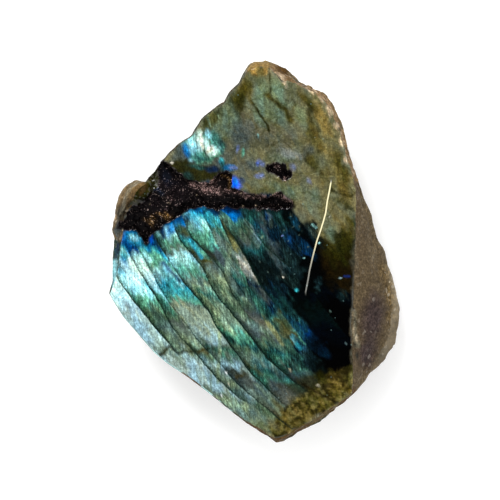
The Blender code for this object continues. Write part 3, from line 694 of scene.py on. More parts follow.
# Flash under the hollow
washes(("deep_blue", 131, 240, 12, 9, 40, .9, .5), ("azure", 131, 236, 8, 6, 60, .9, .4),
       ("cyan", 133, 236, 4, 3, 45, .9, .3), ("pale_cyan", 139, 236, 3, 1.5, 50, .8, .3),
       ("deep_blue", 137, 246, 8, 4, 10, .9, .5), ("azure", 129, 252, 6, 2.4, 70, .7, .4),
       ("royal", 152, 237, 7, 2.6, 100, .9, .3), ("cyan", 135, 239, 10, 7, 30, .6, 0),
       ("pale_cyan", 134, 238, 6, 3.6, 30, .9, .2), ("azure", 150, 247, 6, 3, 90, .9, .4),
       ("ink", 158, 238, 12, 4, 62, .8, .5), ("azure", 172, 230, 8, 5, 110, .9, .4),
       ("azure", 192, 213, 10, 6, 40, .9, .5), ("cyan", 190, 219, 8, 3, 20, .7, .5),
       ("cyan", 206, 216, 9, 5, 50, .7, .5), ("deep_blue", 197, 210, 14, 3.4, 8, .6, .5),
       ("deep_blue", 234, 212, 14, 5, 10, .9, .5), ("azure", 233, 214, 8, 3, 10, .9, .4),
       ("black", 216, 211, 5, 6, 90, .7, .5), ("ink", 245, 214, 6, 4, 90, .7, .5),
       ("deep_blue", 268, 218, 5, 3, 60, .8, .4))

# Seams in the upper half
strokes(("dark_olive", [(270, 72), (270.5, 84), (269, 97)], 1.8, .95, .2),
        ("dark_olive", [(264, 82), (265, 94), (264, 106)], 2.2, .4, .4),
        ("olive", [(268, 96), (277, 103), (283, 108), (287, 115), (290, 121)], 5, .9, .5),
        ("dark_olive", [(273, 100), (280, 106), (285, 110), (289, 118)], 2.6, .8, .4),
        ("dark_olive", [(253, 103), (258, 112), (263, 119), (267, 126), (269, 132)], 2, 1, .3),
        ("olive", [(250, 84), (250, 95), (253, 103)], 3, .8, .4),
        ("olive", [(264, 118), (272, 124), (279, 128)], 2, .5, .4),
        ("dark_olive", [(294.5, 102), (292, 110), (289.5, 117)], 1.8, .7, .3),
        ("olive", [(284, 110), (292, 112), (296, 104)], 2, .5, .4),
        ("olive", [(246, 116), (252, 122), (256, 130)], 3, .4, .6),
        ("olive", [(262, 148), (290, 146), (300, 150)], 2, .35, .8),
        ("dark_olive", [(308, 152), (305, 158), (308, 164), (314, 168)], 3, .6, .5),
        ("dark_olive", [(330, 190), (336, 193), (344, 196), (352, 195)], 2.6, .8, .4),
        ("khaki", [(316, 172), (322, 186), (330, 196)], 2, .5, .6),
        ("ochre_olive", [(350, 176), (354, 190), (356, 210)], 4, .6, .4))

# Olive and rusty lines that cross the lamellae
strokes(("dark_olive", [(160, 356), (166, 352), (170, 347), (178, 352), (192, 351), (206, 348),
                        (214, 348)], 2.6, .8, .3),
        ("rust", [(199, 352), (204, 349), (208, 352)], 3.4, .6, .3),
        ("dark_olive", [(160, 357), (166, 350)], 4, .5, .3),
        ("dark_olive", [(220, 368), (228, 370), (234, 374), (246, 376)], 4, .45, .5),
        ("dark_olive", [(232, 372), (238, 379), (246, 374)], 3.4, .55, .6),
        ("rust", [(236, 378), (241, 376)], 2.4, .5, .3),
        ("olive", [(244, 361), (250, 368), (262, 374)], 4, .5, .6),
        ("olive", [(200, 262), (203, 268)], 5, .7, .4),
        ("dark_olive", [(203, 246), (208, 252), (216, 262)], 6, .7, .5))

# Single fibres and upright scratches in the flash
strokes(("reed", [(219, 333), (220, 350), (218.5, 368), (218, 382)], 3, .85),
        ("reed", [(211, 372), (211, 392)], 2.2, .6), ("reed", [(222, 292), (224, 304)], 2, .8),
        ("reed", [(224, 316), (225, 330)], 2, .8),
        ("reed", [(226.5, 258), (225.5, 272), (224.5, 288)], 1.8, .8),
        ("reed", [(228, 244), (229, 256), (228.5, 272)], 3.2, .8, .3),
        ("reed", [(214.5, 228), (215.5, 244)], 2.4, .7, .3),
        ("cyan", [(190, 241), (196, 250), (201, 258)], 3.4, .9, .2),
        ("dark_olive", [(194, 240), (201, 250)], 1.8, .7, .2),
        ("olive", [(184, 230), (186, 238)], 7, .7, .5),
        ("cyan", [(164, 272), (170, 280), (176, 292)], 6, .6, .4),
        ("deep_blue", [(164, 264), (172, 273), (181, 280)], 3.4, .85, .3),
        ("teal", [(166, 284), (172, 294)], 2, .6, .2),
        ("reed", [(151, 262), (156, 272), (160, 282)], 2.4, .6, .3),
        ("teal", [(120, 264), (119.5, 276)], 2.2, .8, .2),
        ("teal", [(122, 268), (126, 278)], 2.4, .5, .3))

# Tan, sea green and cyan fibres where the flash ends at the lower right
strokes(("tan", [(263, 314), (269, 324), (276, 334), (283, 344)], 3.4, .95, .2),
        ("tan", [(272, 326), (278, 336)], 2, .8, .2),
        ("jade", [(264, 330), (272, 340), (280, 348)], 3, .7, .3),
        ("olive", [(277, 316), (283, 325), (291, 338)], 8, .7, .9),
        ("tan", [(281, 322), (287, 332)], 3, .5, .8), ("tan", [(284, 336), (279, 328)], 2, .5, .6),
        ("cyan", [(290, 335), (295, 341), (301, 349)], 2.2, .6, .4),
        ("sea", [(292, 330), (298, 337), (306, 347)], 1.8, .6, .5),
        ("sea", [(287, 338), (294, 349), (303, 359)], 2.4, .7, .4),
        ("pale_cyan", [(291, 337), (295, 342)], 1.2, .45, .2),
        ("sea", [(284, 340), (290, 350), (300, 360)], 4, .7, .4),
        ("ink", [(286, 346), (294, 356), (302, 366)], 3, .7, .4),
        ("teal", [(252, 292), (260, 302), (266, 314)], 9, .9, .6),
        ("sea", [(256, 300), (263, 312)], 4, .7, .4),
        ("teal", [(272, 350), (280, 356), (286, 362)], 5, .7, .5),
        ("sea", [(286.5, 351), (286.5, 364)], 1.6, .7, .1),
        ("teal", [(286, 366), (296, 372), (306, 376)], 5, .6, .5),
        ("teal", [(300, 320), (306, 330)], 3, .5, .4),
        ("sea", [(252, 372), (260, 380), (268, 388)], 4, .7, .3),
        ("reed", [(257, 384), (264, 392), (272, 400)], 4, .7, .5),
        ("ash", [(268, 392), (276, 402), (284, 410)], 4, .7, .5),
        ("reed", [(272, 405), (278, 412), (284, 419)], 3, .6, .4))

# Light and dark patches all over the face
washes(("teal", 237, 300, 16, 8, 52, .5, 1), ("olive", 276, 404, 12, 3.5, 45, .7, .5),
       ("slate", 280, 375, 9, 6, 50, .4, .5), ("pearl", 250, 396, 9, 5, 50, .5, .5),
       ("dark_olive", 285, 325, 9, 5, 60, .5, .5), ("ink", 303, 360, 12, 6, 55, .6, .5),
       ("teal", 211, 226, 10, 6, 70, .35, .5), ("sea", 264, 243, 10, 5, 60, .45, .5))
for pigment, x, y, long, wide, lean, strength in (
        ("deep_blue", 163, 233, 9, 3.4, 70, .8), ("cyan", 124, 259, 8, 5, 60, .9),
        ("deep_blue", 186, 219, 6, 4, 60, .8), ("ink", 216, 214, 8, 5, 60, .8),
        ("ink", 240, 291, 8, 6, 60, .8), ("pale_cyan", 147, 258, 7, 4, 60, .8),
        ("cyan", 123, 273, 9, 4, 60, .6), ("pale_cyan", 209, 134, 7, 3.4, 60, .6),
        ("khaki", 297, 150, 11, 6, 30, .9), ("slate", 226, 385, 9, 5, 50, .7),
        ("ink", 312, 228, 9, 6, 50, .9), ("dark_olive", 246, 368, 9, 5, 50, .5),
        ("cyan", 196, 219, 10, 6, 60, .7), ("slate", 215, 270, 9, 5, 60, .7),
        ("teal", 267, 360, 10, 5, 50, .8), ("teal", 167, 261, 7, 3.4, 60, .6),
        ("teal", 257, 363, 9, 4, 50, .7), ("ink", 293, 364, 10, 6, 50, .9),
        ("sea", 196, 266, 9, 4, 60, .8), ("ink", 163, 234, 8, 3, 70, .7),
        ("cyan", 146, 284, 9, 4, 55, .7), ("ink", 220, 215, 7, 5, 60, .7),
        ("azure", 124, 262, 8, 3.4, 60, .45), ("ink", 209, 211, 8, 3, 10, .6),
        ("ink", 187, 222, 6, 3, 60, .6), ("rose_grey", 290, 154, 15, 6, 10, .5),
        ("olive", 258, 81, 9, 5, 60, .6), ("black", 314, 344, 15, 8, 40, .65),
        ("khaki", 301, 143, 9, 6, 40, .8), ("deep_blue", 163, 232, 8, 3, 70, .8),
        ("cyan", 144, 281, 8, 4, 55, .5), ("black", 284, 304, 8, 5, 50, .5),
        ("pearl", 183, 344, 6, 3, 50, .6), ("black", 270, 213, 9, 3, 10, .5),
        ("pale_sage", 276, 89, 12, 6, 80, .7), ("khaki", 292, 111, 8, 5, 60, .5),
        ("ochre_olive", 331, 170, 9, 6, 90, .4), ("dove", 250, 130, 11, 7, 60, .7),
        ("ink", 240, 290, 8, 5, 60, .6), ("deep_blue", 214, 214, 9, 4, 20, .7),
        ("teal", 236, 391, 8, 4, 50, .4), ("pearl", 250, 401, 8, 4, 45, .4)):
    wash(pigment, x, y, long, wide, lean, strength, 0.4)

# Olive stone at the lower point, blotched with ochre and brown, and crossed by a dark seam
MOSS = [(280, 410), (292, 398), (312, 386), (326, 378), (332, 370), (360, 366), (360, 400), (300, 440),
        (270, 446), (264, 430), (276, 420)]
area("moss", MOSS, .95, 8, 1.2)
area("dark_olive", [(284, 384), (300, 376), (318, 372), (330, 376), (318, 388), (296, 398)], .8, 9)
washes(("bronze", 341, 382, 10, 8, 90, .7), ("dark_olive", 322, 384, 6, 8, 20, .6),
       ("olive", 312, 398, 18, 8, -30, .7), ("dark_olive", 300, 406, 14, 4, -30, .7),
       ("rust", 296, 422, 14, 4, -30, .6), ("rust", 290, 430, 6, 3, -20, .8),
       ("dark_olive", 322, 414, 16, 4, -32, .8), ("dark_olive", 292, 414, 8, 3, -40, .6),
       ("khaki", 274, 424, 10, 5, 45, .6), ("olive", 280, 436, 9, 4, 0, .8),
       ("umber", 272, 440, 7, 2, 0, .8), ("coffee", 330, 394, 10, 2.4, 40, .7),
       ("umber", 252, 426, 8, 2.4, 38, .8))
mossy = 1 - eased(outside_in_picture(MOSS), -6, 2)
blotches = lumps(flat_place, 3.4, 46) + 0.7 * lumps(flat_place, 1.5, 47)
lay("ochre_olive", 0.6 * mossy * eased(blotches, 0.0, 0.6))
lay("coffee", 0.7 * mossy * eased(-blotches, 0.05, 0.6))
stroke("coffee", [(303, 384), (314, 391), (324, 396), (337, 402)], 2.4, .85, .3)
for x, y, long, wide, lean in ((336, 375, 14, 5, -10), (346, 371, 8, 4, 0), (326, 386, 8, 4, -20)):
    wash("coffee", x, y, long, wide, lean, .75, 0.8)

# Single bright spots, fainter specks in the dark stone, and a few short glints
for pigment, x, y, size in (
        ("cyan", 296.5, 290, 2.2), ("pearl", 346, 343, .9), ("ash", 330, 311, 1.1),
        ("white", 226.5, 372, 1.5), ("white", 229, 384, 1.2), ("cream", 290, 370, 1.5),
        ("cream", 318, 385, 1.6), ("white", 172, 163, 1.2), ("reed", 186, 322, 1.3),
        ("pale_cyan", 258, 136, 1.4), ("white", 222, 395, 1.2), ("pale_cyan", 304, 258, 1),
        ("pale_cyan", 319, 243, 1.2), ("cream", 329, 217, .9), ("reed", 171, 349, 1.4),
        ("reed", 255, 366, 1.3), ("reed", 262, 237, 1.5), ("white", 283, 277, 1),
        ("lilac", 282, 236, 1)):
    wash(pigment, x, y, size, size, 0, 1, 0)
for x, y in ((276, 226), (288, 241), (299, 235), (284, 230), (254, 231), (260, 262), (250, 244),
             (273, 243), (308, 247), (247, 284), (256, 289), (262, 279), (293, 227), (268, 272)):
    wash("ash", x, y, .9, .9, 0, .6, 0)
strokes(("pearl", [(251, 226), (256, 235), (260, 243)], 1.6, .5, .3),
        ("ash", [(246, 221), (252, 232), (259, 246)], 3, .5, .4),
        ("ash", [(268, 214), (272, 226)], 3, .4, .4), ("pale_cyan", [(312, 224.5), (316, 228)], 1.7, 1),
        ("royal", [(344, 276), (349, 276.5)], 1.8, .16), ("mist", [(339, 278), (341, 278)], 1.2, .8))


# The broken stone's colours
# Broken feldspar is dull grey-green, paler where an edge is crushed and brown to rust where
# the weather has got in. The fifth number of its pigments is how crumbly the stone is.
PIGMENTS.update({
    "rock": (104, 104, 90, 0, .8), "dark_rock": (62, 62, 54, 0, .8), "green_rock": (80, 92, 76, 0, .8),
    "pale_rock": (150, 146, 128, 0, .9), "rusty_rock": (128, 100, 64, 0, .8),
    "grey_facet": (118, 105, 84, 0, .45), "dark_facet": (88, 76, 76, 0, .9),
    "brown_edge": (84, 64, 32, 0, .3), "dark_brown": (112, 86, 46, 0, .15),
    "pale_crumb": (214, 196, 170, 0, .9), "crumbs": (136, 118, 84, 0, 1.9),
    # rim: brown stone of the steep rim at the top right, painted lighter as painted light
    "beige": (128, 116, 94, 0, .3), "nub": (142, 120, 86, 0, .8), "rim": (156, 132, 98, 0, .8),
})
hollow_of = np.r_[hollow_outside.ravel(), 9, 9]
face_tint = tint.copy()
patchy = lumps(points, 6.0, 41)
fine_patchy = lumps(points, 1.6, 42)
lay("rock", np.ones(len(across)))
lay("green_rock", eased(patchy + 0.4 * fine_patchy, 0.0, 0.6) * 0.8)
lay("dark_rock", eased(lumps(points, 4.0, 43) + 0.5 * fine_patchy, 0.1, 0.7) * 0.8)
lay("rusty_rock", eased(lumps(points, 7.0, 44) + 0.4 * lumps(points, 1.2, 45), 0.25, 0.7) * 0.75)
lay("pale_rock", eased(chips(points, 3.4, 11, 0.9), 0.55, 0.75) * 0.35)
shoulder_tint = tint.copy()

# The two large flat breaks at the right, with a line of pale crumbs between them
area("grey_facet", [(340, 150), (366, 180), (420, 260), (420, 400), (345, 405), (345, 200)], 1, 4, 0.2)
washes(("beige", 366, 214, 24, 8, 75, .7), ("beige", 372, 250, 20, 8, 80, .5),
       ("dark_facet", 373, 318, 30, 14, 95, .9), ("dark_facet", 366, 352, 20, 12, 100, .9),
       ("dark_rock", 384, 352, 12, 6, -50, .7), ("crumbs", 394, 296, 38, 7, 92, .8, 1),
       ("crumbs", 386, 276, 16, 5, 70, .6, 1), ("crumbs", 384, 236, 16, 3, 60, .5, 1),
       ("crumbs", 390, 345, 16, 4, 130, .25, 1), ("beige", 361, 384, 14, 9, 125, .9))
strokes(("pale_rock", [(354, 312), (355, 330), (355.5, 346)], 4, .8, .6),
        ("pale_rock", [(354, 250), (357, 268)], 3, .2))
for x, y, long, wide in ((354, 330, 4, 1.6), (356, 338, 3, 1.6), (353, 316, 2, 1.2), (357, 277, 2, 1.4)):
    wash("pale_crumb", x, y, long, wide, 80, .4, .3)
for x, y, long, wide in ((355, 322, 4, 2), (354, 344, 5, 2), (353, 310, 3, 1.6), (356, 356, 4, 2)):
    wash("dark_rock", x, y, long, wide, 80, .9, .3)

# The rim at the top right: brown stone, painted lighter as painted light on its steep side
area("straw", [(246, 78), (250, 60), (268, 60), (272, 80), (262, 80)], .6, 4)
area("rim", [(268, 56), (300, 68), (330, 88), (352, 130), (362, 178), (350, 180), (338, 130),
             (318, 100), (284, 80), (270, 70)], .9, 3)
washes(("dark_brown", 284, 70, 13, 6, 35, .95, .4), ("pale_crumb", 283, 78, 9, 2.2, 35, .6))

# The rough nub at the left, and the side below it
area("nub", [(108, 240), (108, 180), (150, 172), (146, 186), (134, 198), (126, 222), (122, 240)], 1, 4)
washes(("dark_rock", 122, 228, 10, 3, 100, .6), ("brown_edge", 127, 208, 12, 4, 100, .5),
       ("dark_rock", 121, 212, 12, 6, 95, .8, .4), ("slate", 118, 229, 10, 5, 90, .95, .4))
strokes(("pale_rock", [(140, 180), (132, 186), (126, 198), (121, 212)], 3.4, .6, .5),
        ("pale_crumb", [(113, 216), (115, 221)], 2.4, .7))
area("teal", [(108, 238), (122, 238), (118, 286), (108, 290)], .8, 4)
wash("dark_rock", 119, 244, 10, 3, 90, .8)
strokes(("deep_blue", [(118, 246), (117, 258)], 2.4, .5, .6),
        ("pale_cyan", [(115, 262), (114, 284)], 5, .8))

# The lower left edge, pale where light comes through the thin stone
area("ice", [(104, 290), (114, 290), (180, 372), (245, 424), (230, 430), (104, 320)], .9, 3)
stroke("slate", [(109, 294), (124, 318), (150, 346)], 1.4, .5)

# The upper left edge, and crushed places along the rim at the top right
area("dove", [(158, 170), (200, 118), (244, 68), (250, 76), (206, 126), (165, 172)], .6, 4)
strokes(("brown_edge", [(160, 164), (178, 144)], 4, .7), ("olive", [(196, 126), (226, 98)], 3, .5))
for x, y, long, wide in ((322, 100, 5, 2), (331, 112, 5, 2), (336, 126, 4, 1.6), (341, 140, 4, 1.6),
                         (312, 90, 5, 1.6), (349, 160, 5, 1.6), (352, 172, 4, 1.6)):
    wash("pale_crumb", x, y, long, wide, 65, .6, .4)

# The brown break along the lower right
area("dark_brown", [(232, 420), (280, 400), (340, 372), (352, 384), (364, 410), (290, 470),
                    (240, 460)], .95, 4)
stroke("bronze", [(290, 431), (322, 417), (348, 400)], 6, .6, .6)
for x, y, long, wide in ((300, 428, 4, 1.2), (324, 417, 3, 1.2), (336, 408, 4, 1.4)):
    wash("pale_rock", x, y, long, wide, -35, .7, .4)
# The broken stone darkens towards the hollow
lay("dark_rock", 0.5 * (1 - eased(hollow_of + 0.9 * fine_patchy, 0.1, 1.6)))

# These colours belong to the shoulder, which shows from above. Plain broken stone lies below.
seen_from_above = 1 - eased(fall_of + steep * (0.15 + 0.45 * fine_patchy), 0.9, 1.35)
broken_tint = shoulder_tint + (tint - shoulder_tint) * seen_from_above[:, None]

# The face just inside its edge is bruised, the more the rougher its edge is
tint[:] = face_tint
ROUGH_EDGE = 0.35         # an edge this rough is bruised fully
inset = -beyond / PICTURE_SCALE
inset = inset + 2.2 * lumps(points, 1.0, 51) + 2 * lumps(points, 2.6, 52)
bruise = edge_here[:, 2] / ROUGH_EDGE * (1 - eased(inset, .5, 4))
lay("pale_rock", 0.4 * np.clip(bruise, 0, 1))

# The hollow has a dark rim, wider along its lower side
rim_wander = lumps(points, 0.9, 53)
lay("black", 0.95 * (1 - eased(hollow_of + 0.3 * rim_wander, 0.1, 1.1)) * eased(downward, 186, 200))
lay("black", 0.7 * (1 - eased(hollow_of + 0.2 * rim_wander, 0.0, 0.5)))

# Crushed places at the edge, and the straw-coloured chip at the top
for x, y, long, wide in ((321, 98, 6, 2.6), (329, 111, 7, 2.4), (335, 126, 5, 1.6), (341, 142, 5, 1.4),
                         (310, 91, 6, 1.8), (283, 80, 9, 2.2), (346, 160, 5, 1.4)):
    wash("pale_crumb", x, y, long, wide, 65, .8, .5)
wash("bronze", 259, 70, 12, 8, 0, .8, .9)
from_chip = np.hypot((across - 259) / 9, (downward - 71) / 7)
lay("straw", (1 - eased(from_chip, .6, 1.1)) * eased(fine_patchy, -.5, .1))
washes(("brown_edge", 252, 66, 5, 2, 150, .7, .6), ("brown_edge", 266, 66, 5, 2, 20, .6, .6),
       ("brown_edge", 279, 70, 10, 3, 35, .8, .4), ("brown_edge", 255, 75, 3, 1.5, 0, .5, .6))
area("dark_olive", [(128, 206), (136, 180), (156, 160), (168, 176), (160, 196), (140, 208)], 1, 4, .4)
washes(("olive", 148, 180, 9, 5, 130, .8, .5), ("umber", 143, 190, 10, 3, 120, .7, .5),
       ("black", 146, 200, 14, 5, 150, .9, .8))
face_tint = tint.copy()

# Crumbs in the hollow and the pit. The fifth number is how thickly they lie.
PIGMENTS.update({
    # empty: no crumbs and nearly black, dark stone and painted shade
    "bare": (62, 50, 56, 0, .08), "plum": (100, 82, 92, 0, .35), "empty": (20, 16, 22, 0, -.2),
    "pink_crumb": (168, 142, 138, 0, .75), "ochre_crumb": (176, 140, 78, 0, .6),
    "blue_crumb": (70, 96, 130, 0, .3),
})
tint[:] = paint("bare")
washes(("plum", 174, 190, 26, 14, 40, .6, 1), ("plum", 160, 205, 22, 10, -10, .4, 1),
       ("pink_crumb", 207, 189, 20, 7, 8, .9, 1), ("pink_crumb", 193, 186, 9, 4, 40, .8, 1),
       ("pink_crumb", 216, 181, 6, 4, -40, .6, 1), ("pink_crumb", 170, 199, 6, 3, 30, .4, 1),
       ("ochre_crumb", 163, 214, 10, 6, 0, .9, 1), ("ochre_crumb", 150, 222, 9, 5, 60, .6, 1),
       ("blue_crumb", 168, 177, 12, 5, 60, .6, 1), ("blue_crumb", 160, 190, 4, 5, 60, .8, 1))
strokes(("pink_crumb", [(226, 191), (244, 195), (262, 198), (276, 194), (292, 202)], 3.6, .7, .6),
        ("pink_crumb", [(250, 206), (262, 207), (274, 206)], 1.6, .5, .4),
        ("ochre_crumb", [(222, 176), (230, 179), (229, 188)], 3, .7, .4))
# Places with no crumbs, a long one along the hollow's lower side: dark stone and painted shade under its
# edge
washes(("pink_crumb", 277, 167, 8, 3, 30, .35, .5), ("pink_crumb", 286, 178, 4, 1.6, 30, .7, .5),
       ("empty", 250, 203, 28, 5, 3, 1, .5), ("empty", 132, 216, 12, 8, 40, .4, 1),
       ("olive", 150, 184, 10, 6, 130, .8, 1), ("umber", 144, 194, 8, 5, 120, .7, 1),
       ("empty", 182, 208, 12, 5, -20, .8, 1))
for x, y in ((137, 193), (152, 222), (169, 203), (197, 195), (223, 206), (241, 193), (243, 206),
             (256, 206), (150, 204)):
    wash("pale_crumb", x, y, 1.2, 1, 0, .9, 0)
hollow_tint = tint.copy()

# Where crumbs lie: in the hollow, a little over its rim and a short way down the stone's side,
# but not on the nub that closes its left end or on the shelf of clean stone beside that
CRUMBS_OVER_RIM = 0.3
CRUMBS_DOWN_SIDE = 2.2
NUB = [(104, 230), (104, 174), (142, 174), (140, 190), (133, 199), (131, 209), (126, 216), (119, 222),
       (112, 228)]
SHELF = [(130, 204), (138, 184), (148, 172), (155, 168), (160, 178), (158, 186), (153, 193), (148, 200),
         (138, 206)]
ragged_end = steep * lumps(points, 1.3, 54)
in_hollow = (fall_of <= 0) | (depth < CRUMBS_DOWN_SIDE - 0.8 * fine_patchy)
in_hollow &= hollow_of + 1.2 * ragged_end < CRUMBS_OVER_RIM
in_hollow &= (fall_of < 0) | (outside_in_picture(NUB) > 1.5 * fine_patchy)
in_hollow &= outside_in_picture(SHELF) > 1.2 * fine_patchy
final = np.where((fall_of < 0.001)[:, None], face_tint, broken_tint)
final = np.where(in_hollow[:, None], hollow_tint, final)

# How far each point stands out from its neighbours, 1 on a sharp ridge and -1 in a sharp
# groove, smoothed over points one, two and three steps away. The broken stone's ridges are
# worn pale by it, and its grooves get painted shade.
SHARP_RIDGE = 0.045       # a point that stands out by this much is fully worn
own_row = np.arange(count)
neighbours = (np.roll(grid, 1, axis=1) + np.roll(grid, -1, axis=1)
              + grid[np.clip(own_row - 1, 0, None)] + grid[np.clip(own_row + 1, None, count - 1)]) / 4
normals = np.empty(len(points) * 3, np.float32)
stone_data.vertices.foreach_get("normal", normals)
normals = normals.reshape(-1, 3)
bulge = ((points[:-2] - neighbours.reshape(-1, 3)) * normals[:-2]).sum(axis=1)
bulge = bulge.reshape(count, SPOKES)
for spread in (1, 2, 3):
    above, below = np.clip(own_row - spread, 0, None), np.clip(own_row + spread, None, count - 1)
    bulge = (bulge + np.roll(bulge, spread, axis=1) + np.roll(bulge, -spread, axis=1)
             + bulge[above] + bulge[below]) / 5
wear_and_shade = np.r_[np.clip(bulge.ravel() / SHARP_RIDGE, -1, 1), 0, 0]

# The pale scratch runs down the right side of the face and grows fainter on its way
SCRATCH = np.array([(331, 181), (329, 192), (327, 202), (325.5, 213), (323, 222), (320.5, 230),
                    (317, 240), (313, 255), (309.5, 270), (308, 279), (305.5, 292)])
scratch_off = (across - np.interp(downward, SCRATCH[:, 1], SCRATCH[:, 0])) * PICTURE_SCALE
scratch_faint = eased(downward, 179, 184) * (1 - eased(downward, 289, 296))
scratch_faint = scratch_faint * (1 - 0.6 * eased(downward, 225, 290))


def carry(name, kind, values):
    """Stores a value or colour at each point of the stone for its materials to read."""
    attribute = stone_data.attributes.new(name, kind, "POINT")
    field = "color" if kind == "FLOAT_COLOR" else "value"
    attribute.data.foreach_set(field, np.ravel(values).astype(np.float32))


CRACKS_START = 186        # no crack shows above this line in the picture, or in the hollow
carry("tint", "FLOAT_COLOR", np.c_[np.clip(final[:, :3], 0, 1), np.ones(len(final))])
carry("flash", "FLOAT", final[:, 3])
carry("fibre", "FLOAT", final[:, 4])
carry("lane", "FLOAT", lane_value)
carry("lane_gap", "FLOAT", lane_gap)
carry("crack", "FLOAT", crack_value * eased(hollow_of, 0.1, 0.5) * (downward > CRACKS_START))
carry("scratch_off", "FLOAT", np.clip(scratch_off, -3, 3))
carry("scratch_faint", "FLOAT", scratch_faint)
carry("wear_and_shade", "FLOAT", wear_and_shade)



# Materials
# Polished stone has a soft gloss over the colours inside it. Broken stone is rougher, with
# fine grain and small flat glints, from glossier facets and from painted highlights. The
# crumbs in the hollow are rough and dark.
def feed(tree, socket, value):
    """Links a socket to an output, or sets a plain value on it."""
    if hasattr(value, "is_linked"):
        tree.links.new(value, socket)
    else:
        socket.default_value = value


def put(tree, kind, **settings):
    """Adds a node. Settings are its own properties, or values and links for its inputs."""
    node = tree.nodes.new(kind)
    for name, value in settings.items():
        if hasattr(node, name):
            setattr(node, name, value)
        else:
            feed(tree, node.inputs[name.replace("_", " ")], value)
    return node


def arithmetic(tree, operation, first, second=0.0, third=0.0, clamp=False):
    """One step of arithmetic on values or links."""
    node = put(tree, "ShaderNodeMath", operation=operation, use_clamp=clamp)
    for socket, value in zip(node.inputs, (first, second, third)):
        feed(tree, socket, value)
    return node.outputs[0]


def product(tree, *factors):
    """Values or links multiplied together."""
    result = factors[0]
    for factor in factors[1:]:
        result = arithmetic(tree, "MULTIPLY", result, factor)
    return result


def added(tree, value, amount, onto=0.0):
    """A value times an amount, on top of another."""
    return arithmetic(tree, "MULTIPLY_ADD", value, amount, onto)


def swing(tree, noise, amount, onto=0.0):
    """Noise around 0.5, turned into a swing of this much around another value."""
    return added(tree, arithmetic(tree, "SUBTRACT", noise, 0.5), amount, onto)


def ramp(tree, value, start, end, low=0.0, high=1.0):
    """Eases a value from low to high as it goes from start to end."""
    node = put(tree, "ShaderNodeMapRange", interpolation_type="SMOOTHSTEP")
    names = ("Value", "From Min", "From Max", "To Min", "To Max")
    for name, setting in zip(names, (value, start, end, low, high)):
        feed(tree, node.inputs[name], setting)
    return node.outputs["Result"]


def blend(tree, how, factor, under, over):
    """Mixes two colours by a factor."""
    node = put(tree, "ShaderNodeMix", data_type="RGBA", blend_type=how)
    sockets = {socket.identifier: socket for socket in node.inputs}
    for name, setting in (("Factor_Float", factor), ("A_Color", under), ("B_Color", over)):
        feed(tree, sockets[name], setting)
    return next(socket for socket in node.outputs if socket.identifier == "Result_Color")


def scaled(tree, colour, amount):
    """A colour made lighter or darker by an amount."""
    grey = put(tree, "ShaderNodeCombineColor", Red=amount, Green=amount, Blue=amount).outputs[0]
    return blend(tree, "MULTIPLY", 1.0, colour, grey)


def reading(tree, name, output="Fac"):
    """The value or colour that the stone carries under this name."""
    return put(tree, "ShaderNodeAttribute", attribute_name=name).outputs[output]


def group(name, inputs, outputs):
    """An empty node group with float inputs and float outputs of these names."""
    tree = bpy.data.node_groups.new(name, "ShaderNodeTree")
    for label, value in inputs.items():
        socket = tree.interface.new_socket(label, in_out="INPUT", socket_type="NodeSocketFloat")
        socket.default_value = value
    for label in outputs:
        tree.interface.new_socket(label, in_out="OUTPUT", socket_type="NodeSocketFloat")
    return tree, tree.nodes.new("NodeGroupInput"), tree.nodes.new("NodeGroupOutput")


def new_material(name):
    """An empty material, its node tree and its Principled BSDF."""
    material = bpy.data.materials.new(name)
    material.use_nodes = True
    return material, material.node_tree, material.node_tree.nodes["Principled BSDF"]


# Grain: cloudy mottling, a finer mottle, and small scattered specks
grain, grain_in, grain_out = group("stone_grain", {"Mottle Size": 0.0006}, ("Mottle", "Fine", "Specks"))
where = put(grain, "ShaderNodeTexCoord").outputs["Object"]
per_metre = arithmetic(grain, "DIVIDE", 1.0, grain_in.outputs["Mottle Size"])
mottle = put(grain, "ShaderNodeTexNoise", Vector=where, Scale=per_metre, Detail=3.0, Roughness=0.65)
fine_scale = product(grain, per_metre, 2.2)
fine = put(grain, "ShaderNodeTexNoise", Vector=where, Scale=fine_scale, Detail=2.0, Roughness=0.6)
speck_scale = product(grain, per_metre, 0.9)
speck_cells = put(grain, "ShaderNodeTexVoronoi", Vector=where, Scale=speck_scale)
speck_pick = put(grain, "ShaderNodeSeparateColor", Color=speck_cells.outputs["Color"]).outputs["Red"]
speck_size = ramp(grain, speck_pick, 0.92, 1.0, 0.0, 0.24)
speck_depth = arithmetic(grain, "SUBTRACT", speck_size, speck_cells.outputs["Distance"])
specks = ramp(grain, speck_depth, 0.0, 0.05)
feed(grain, grain_out.inputs["Mottle"], mottle.outputs["Fac"])
feed(grain, grain_out.inputs["Fine"], fine.outputs["Fac"])
feed(grain, grain_out.inputs["Specks"], specks)


def grain_of(tree, size):
    """The outputs of the grain group, its mottling this many millimetres across."""
    return put(tree, "ShaderNodeGroup", node_tree=grain, Mottle_Size=size * METRES).outputs


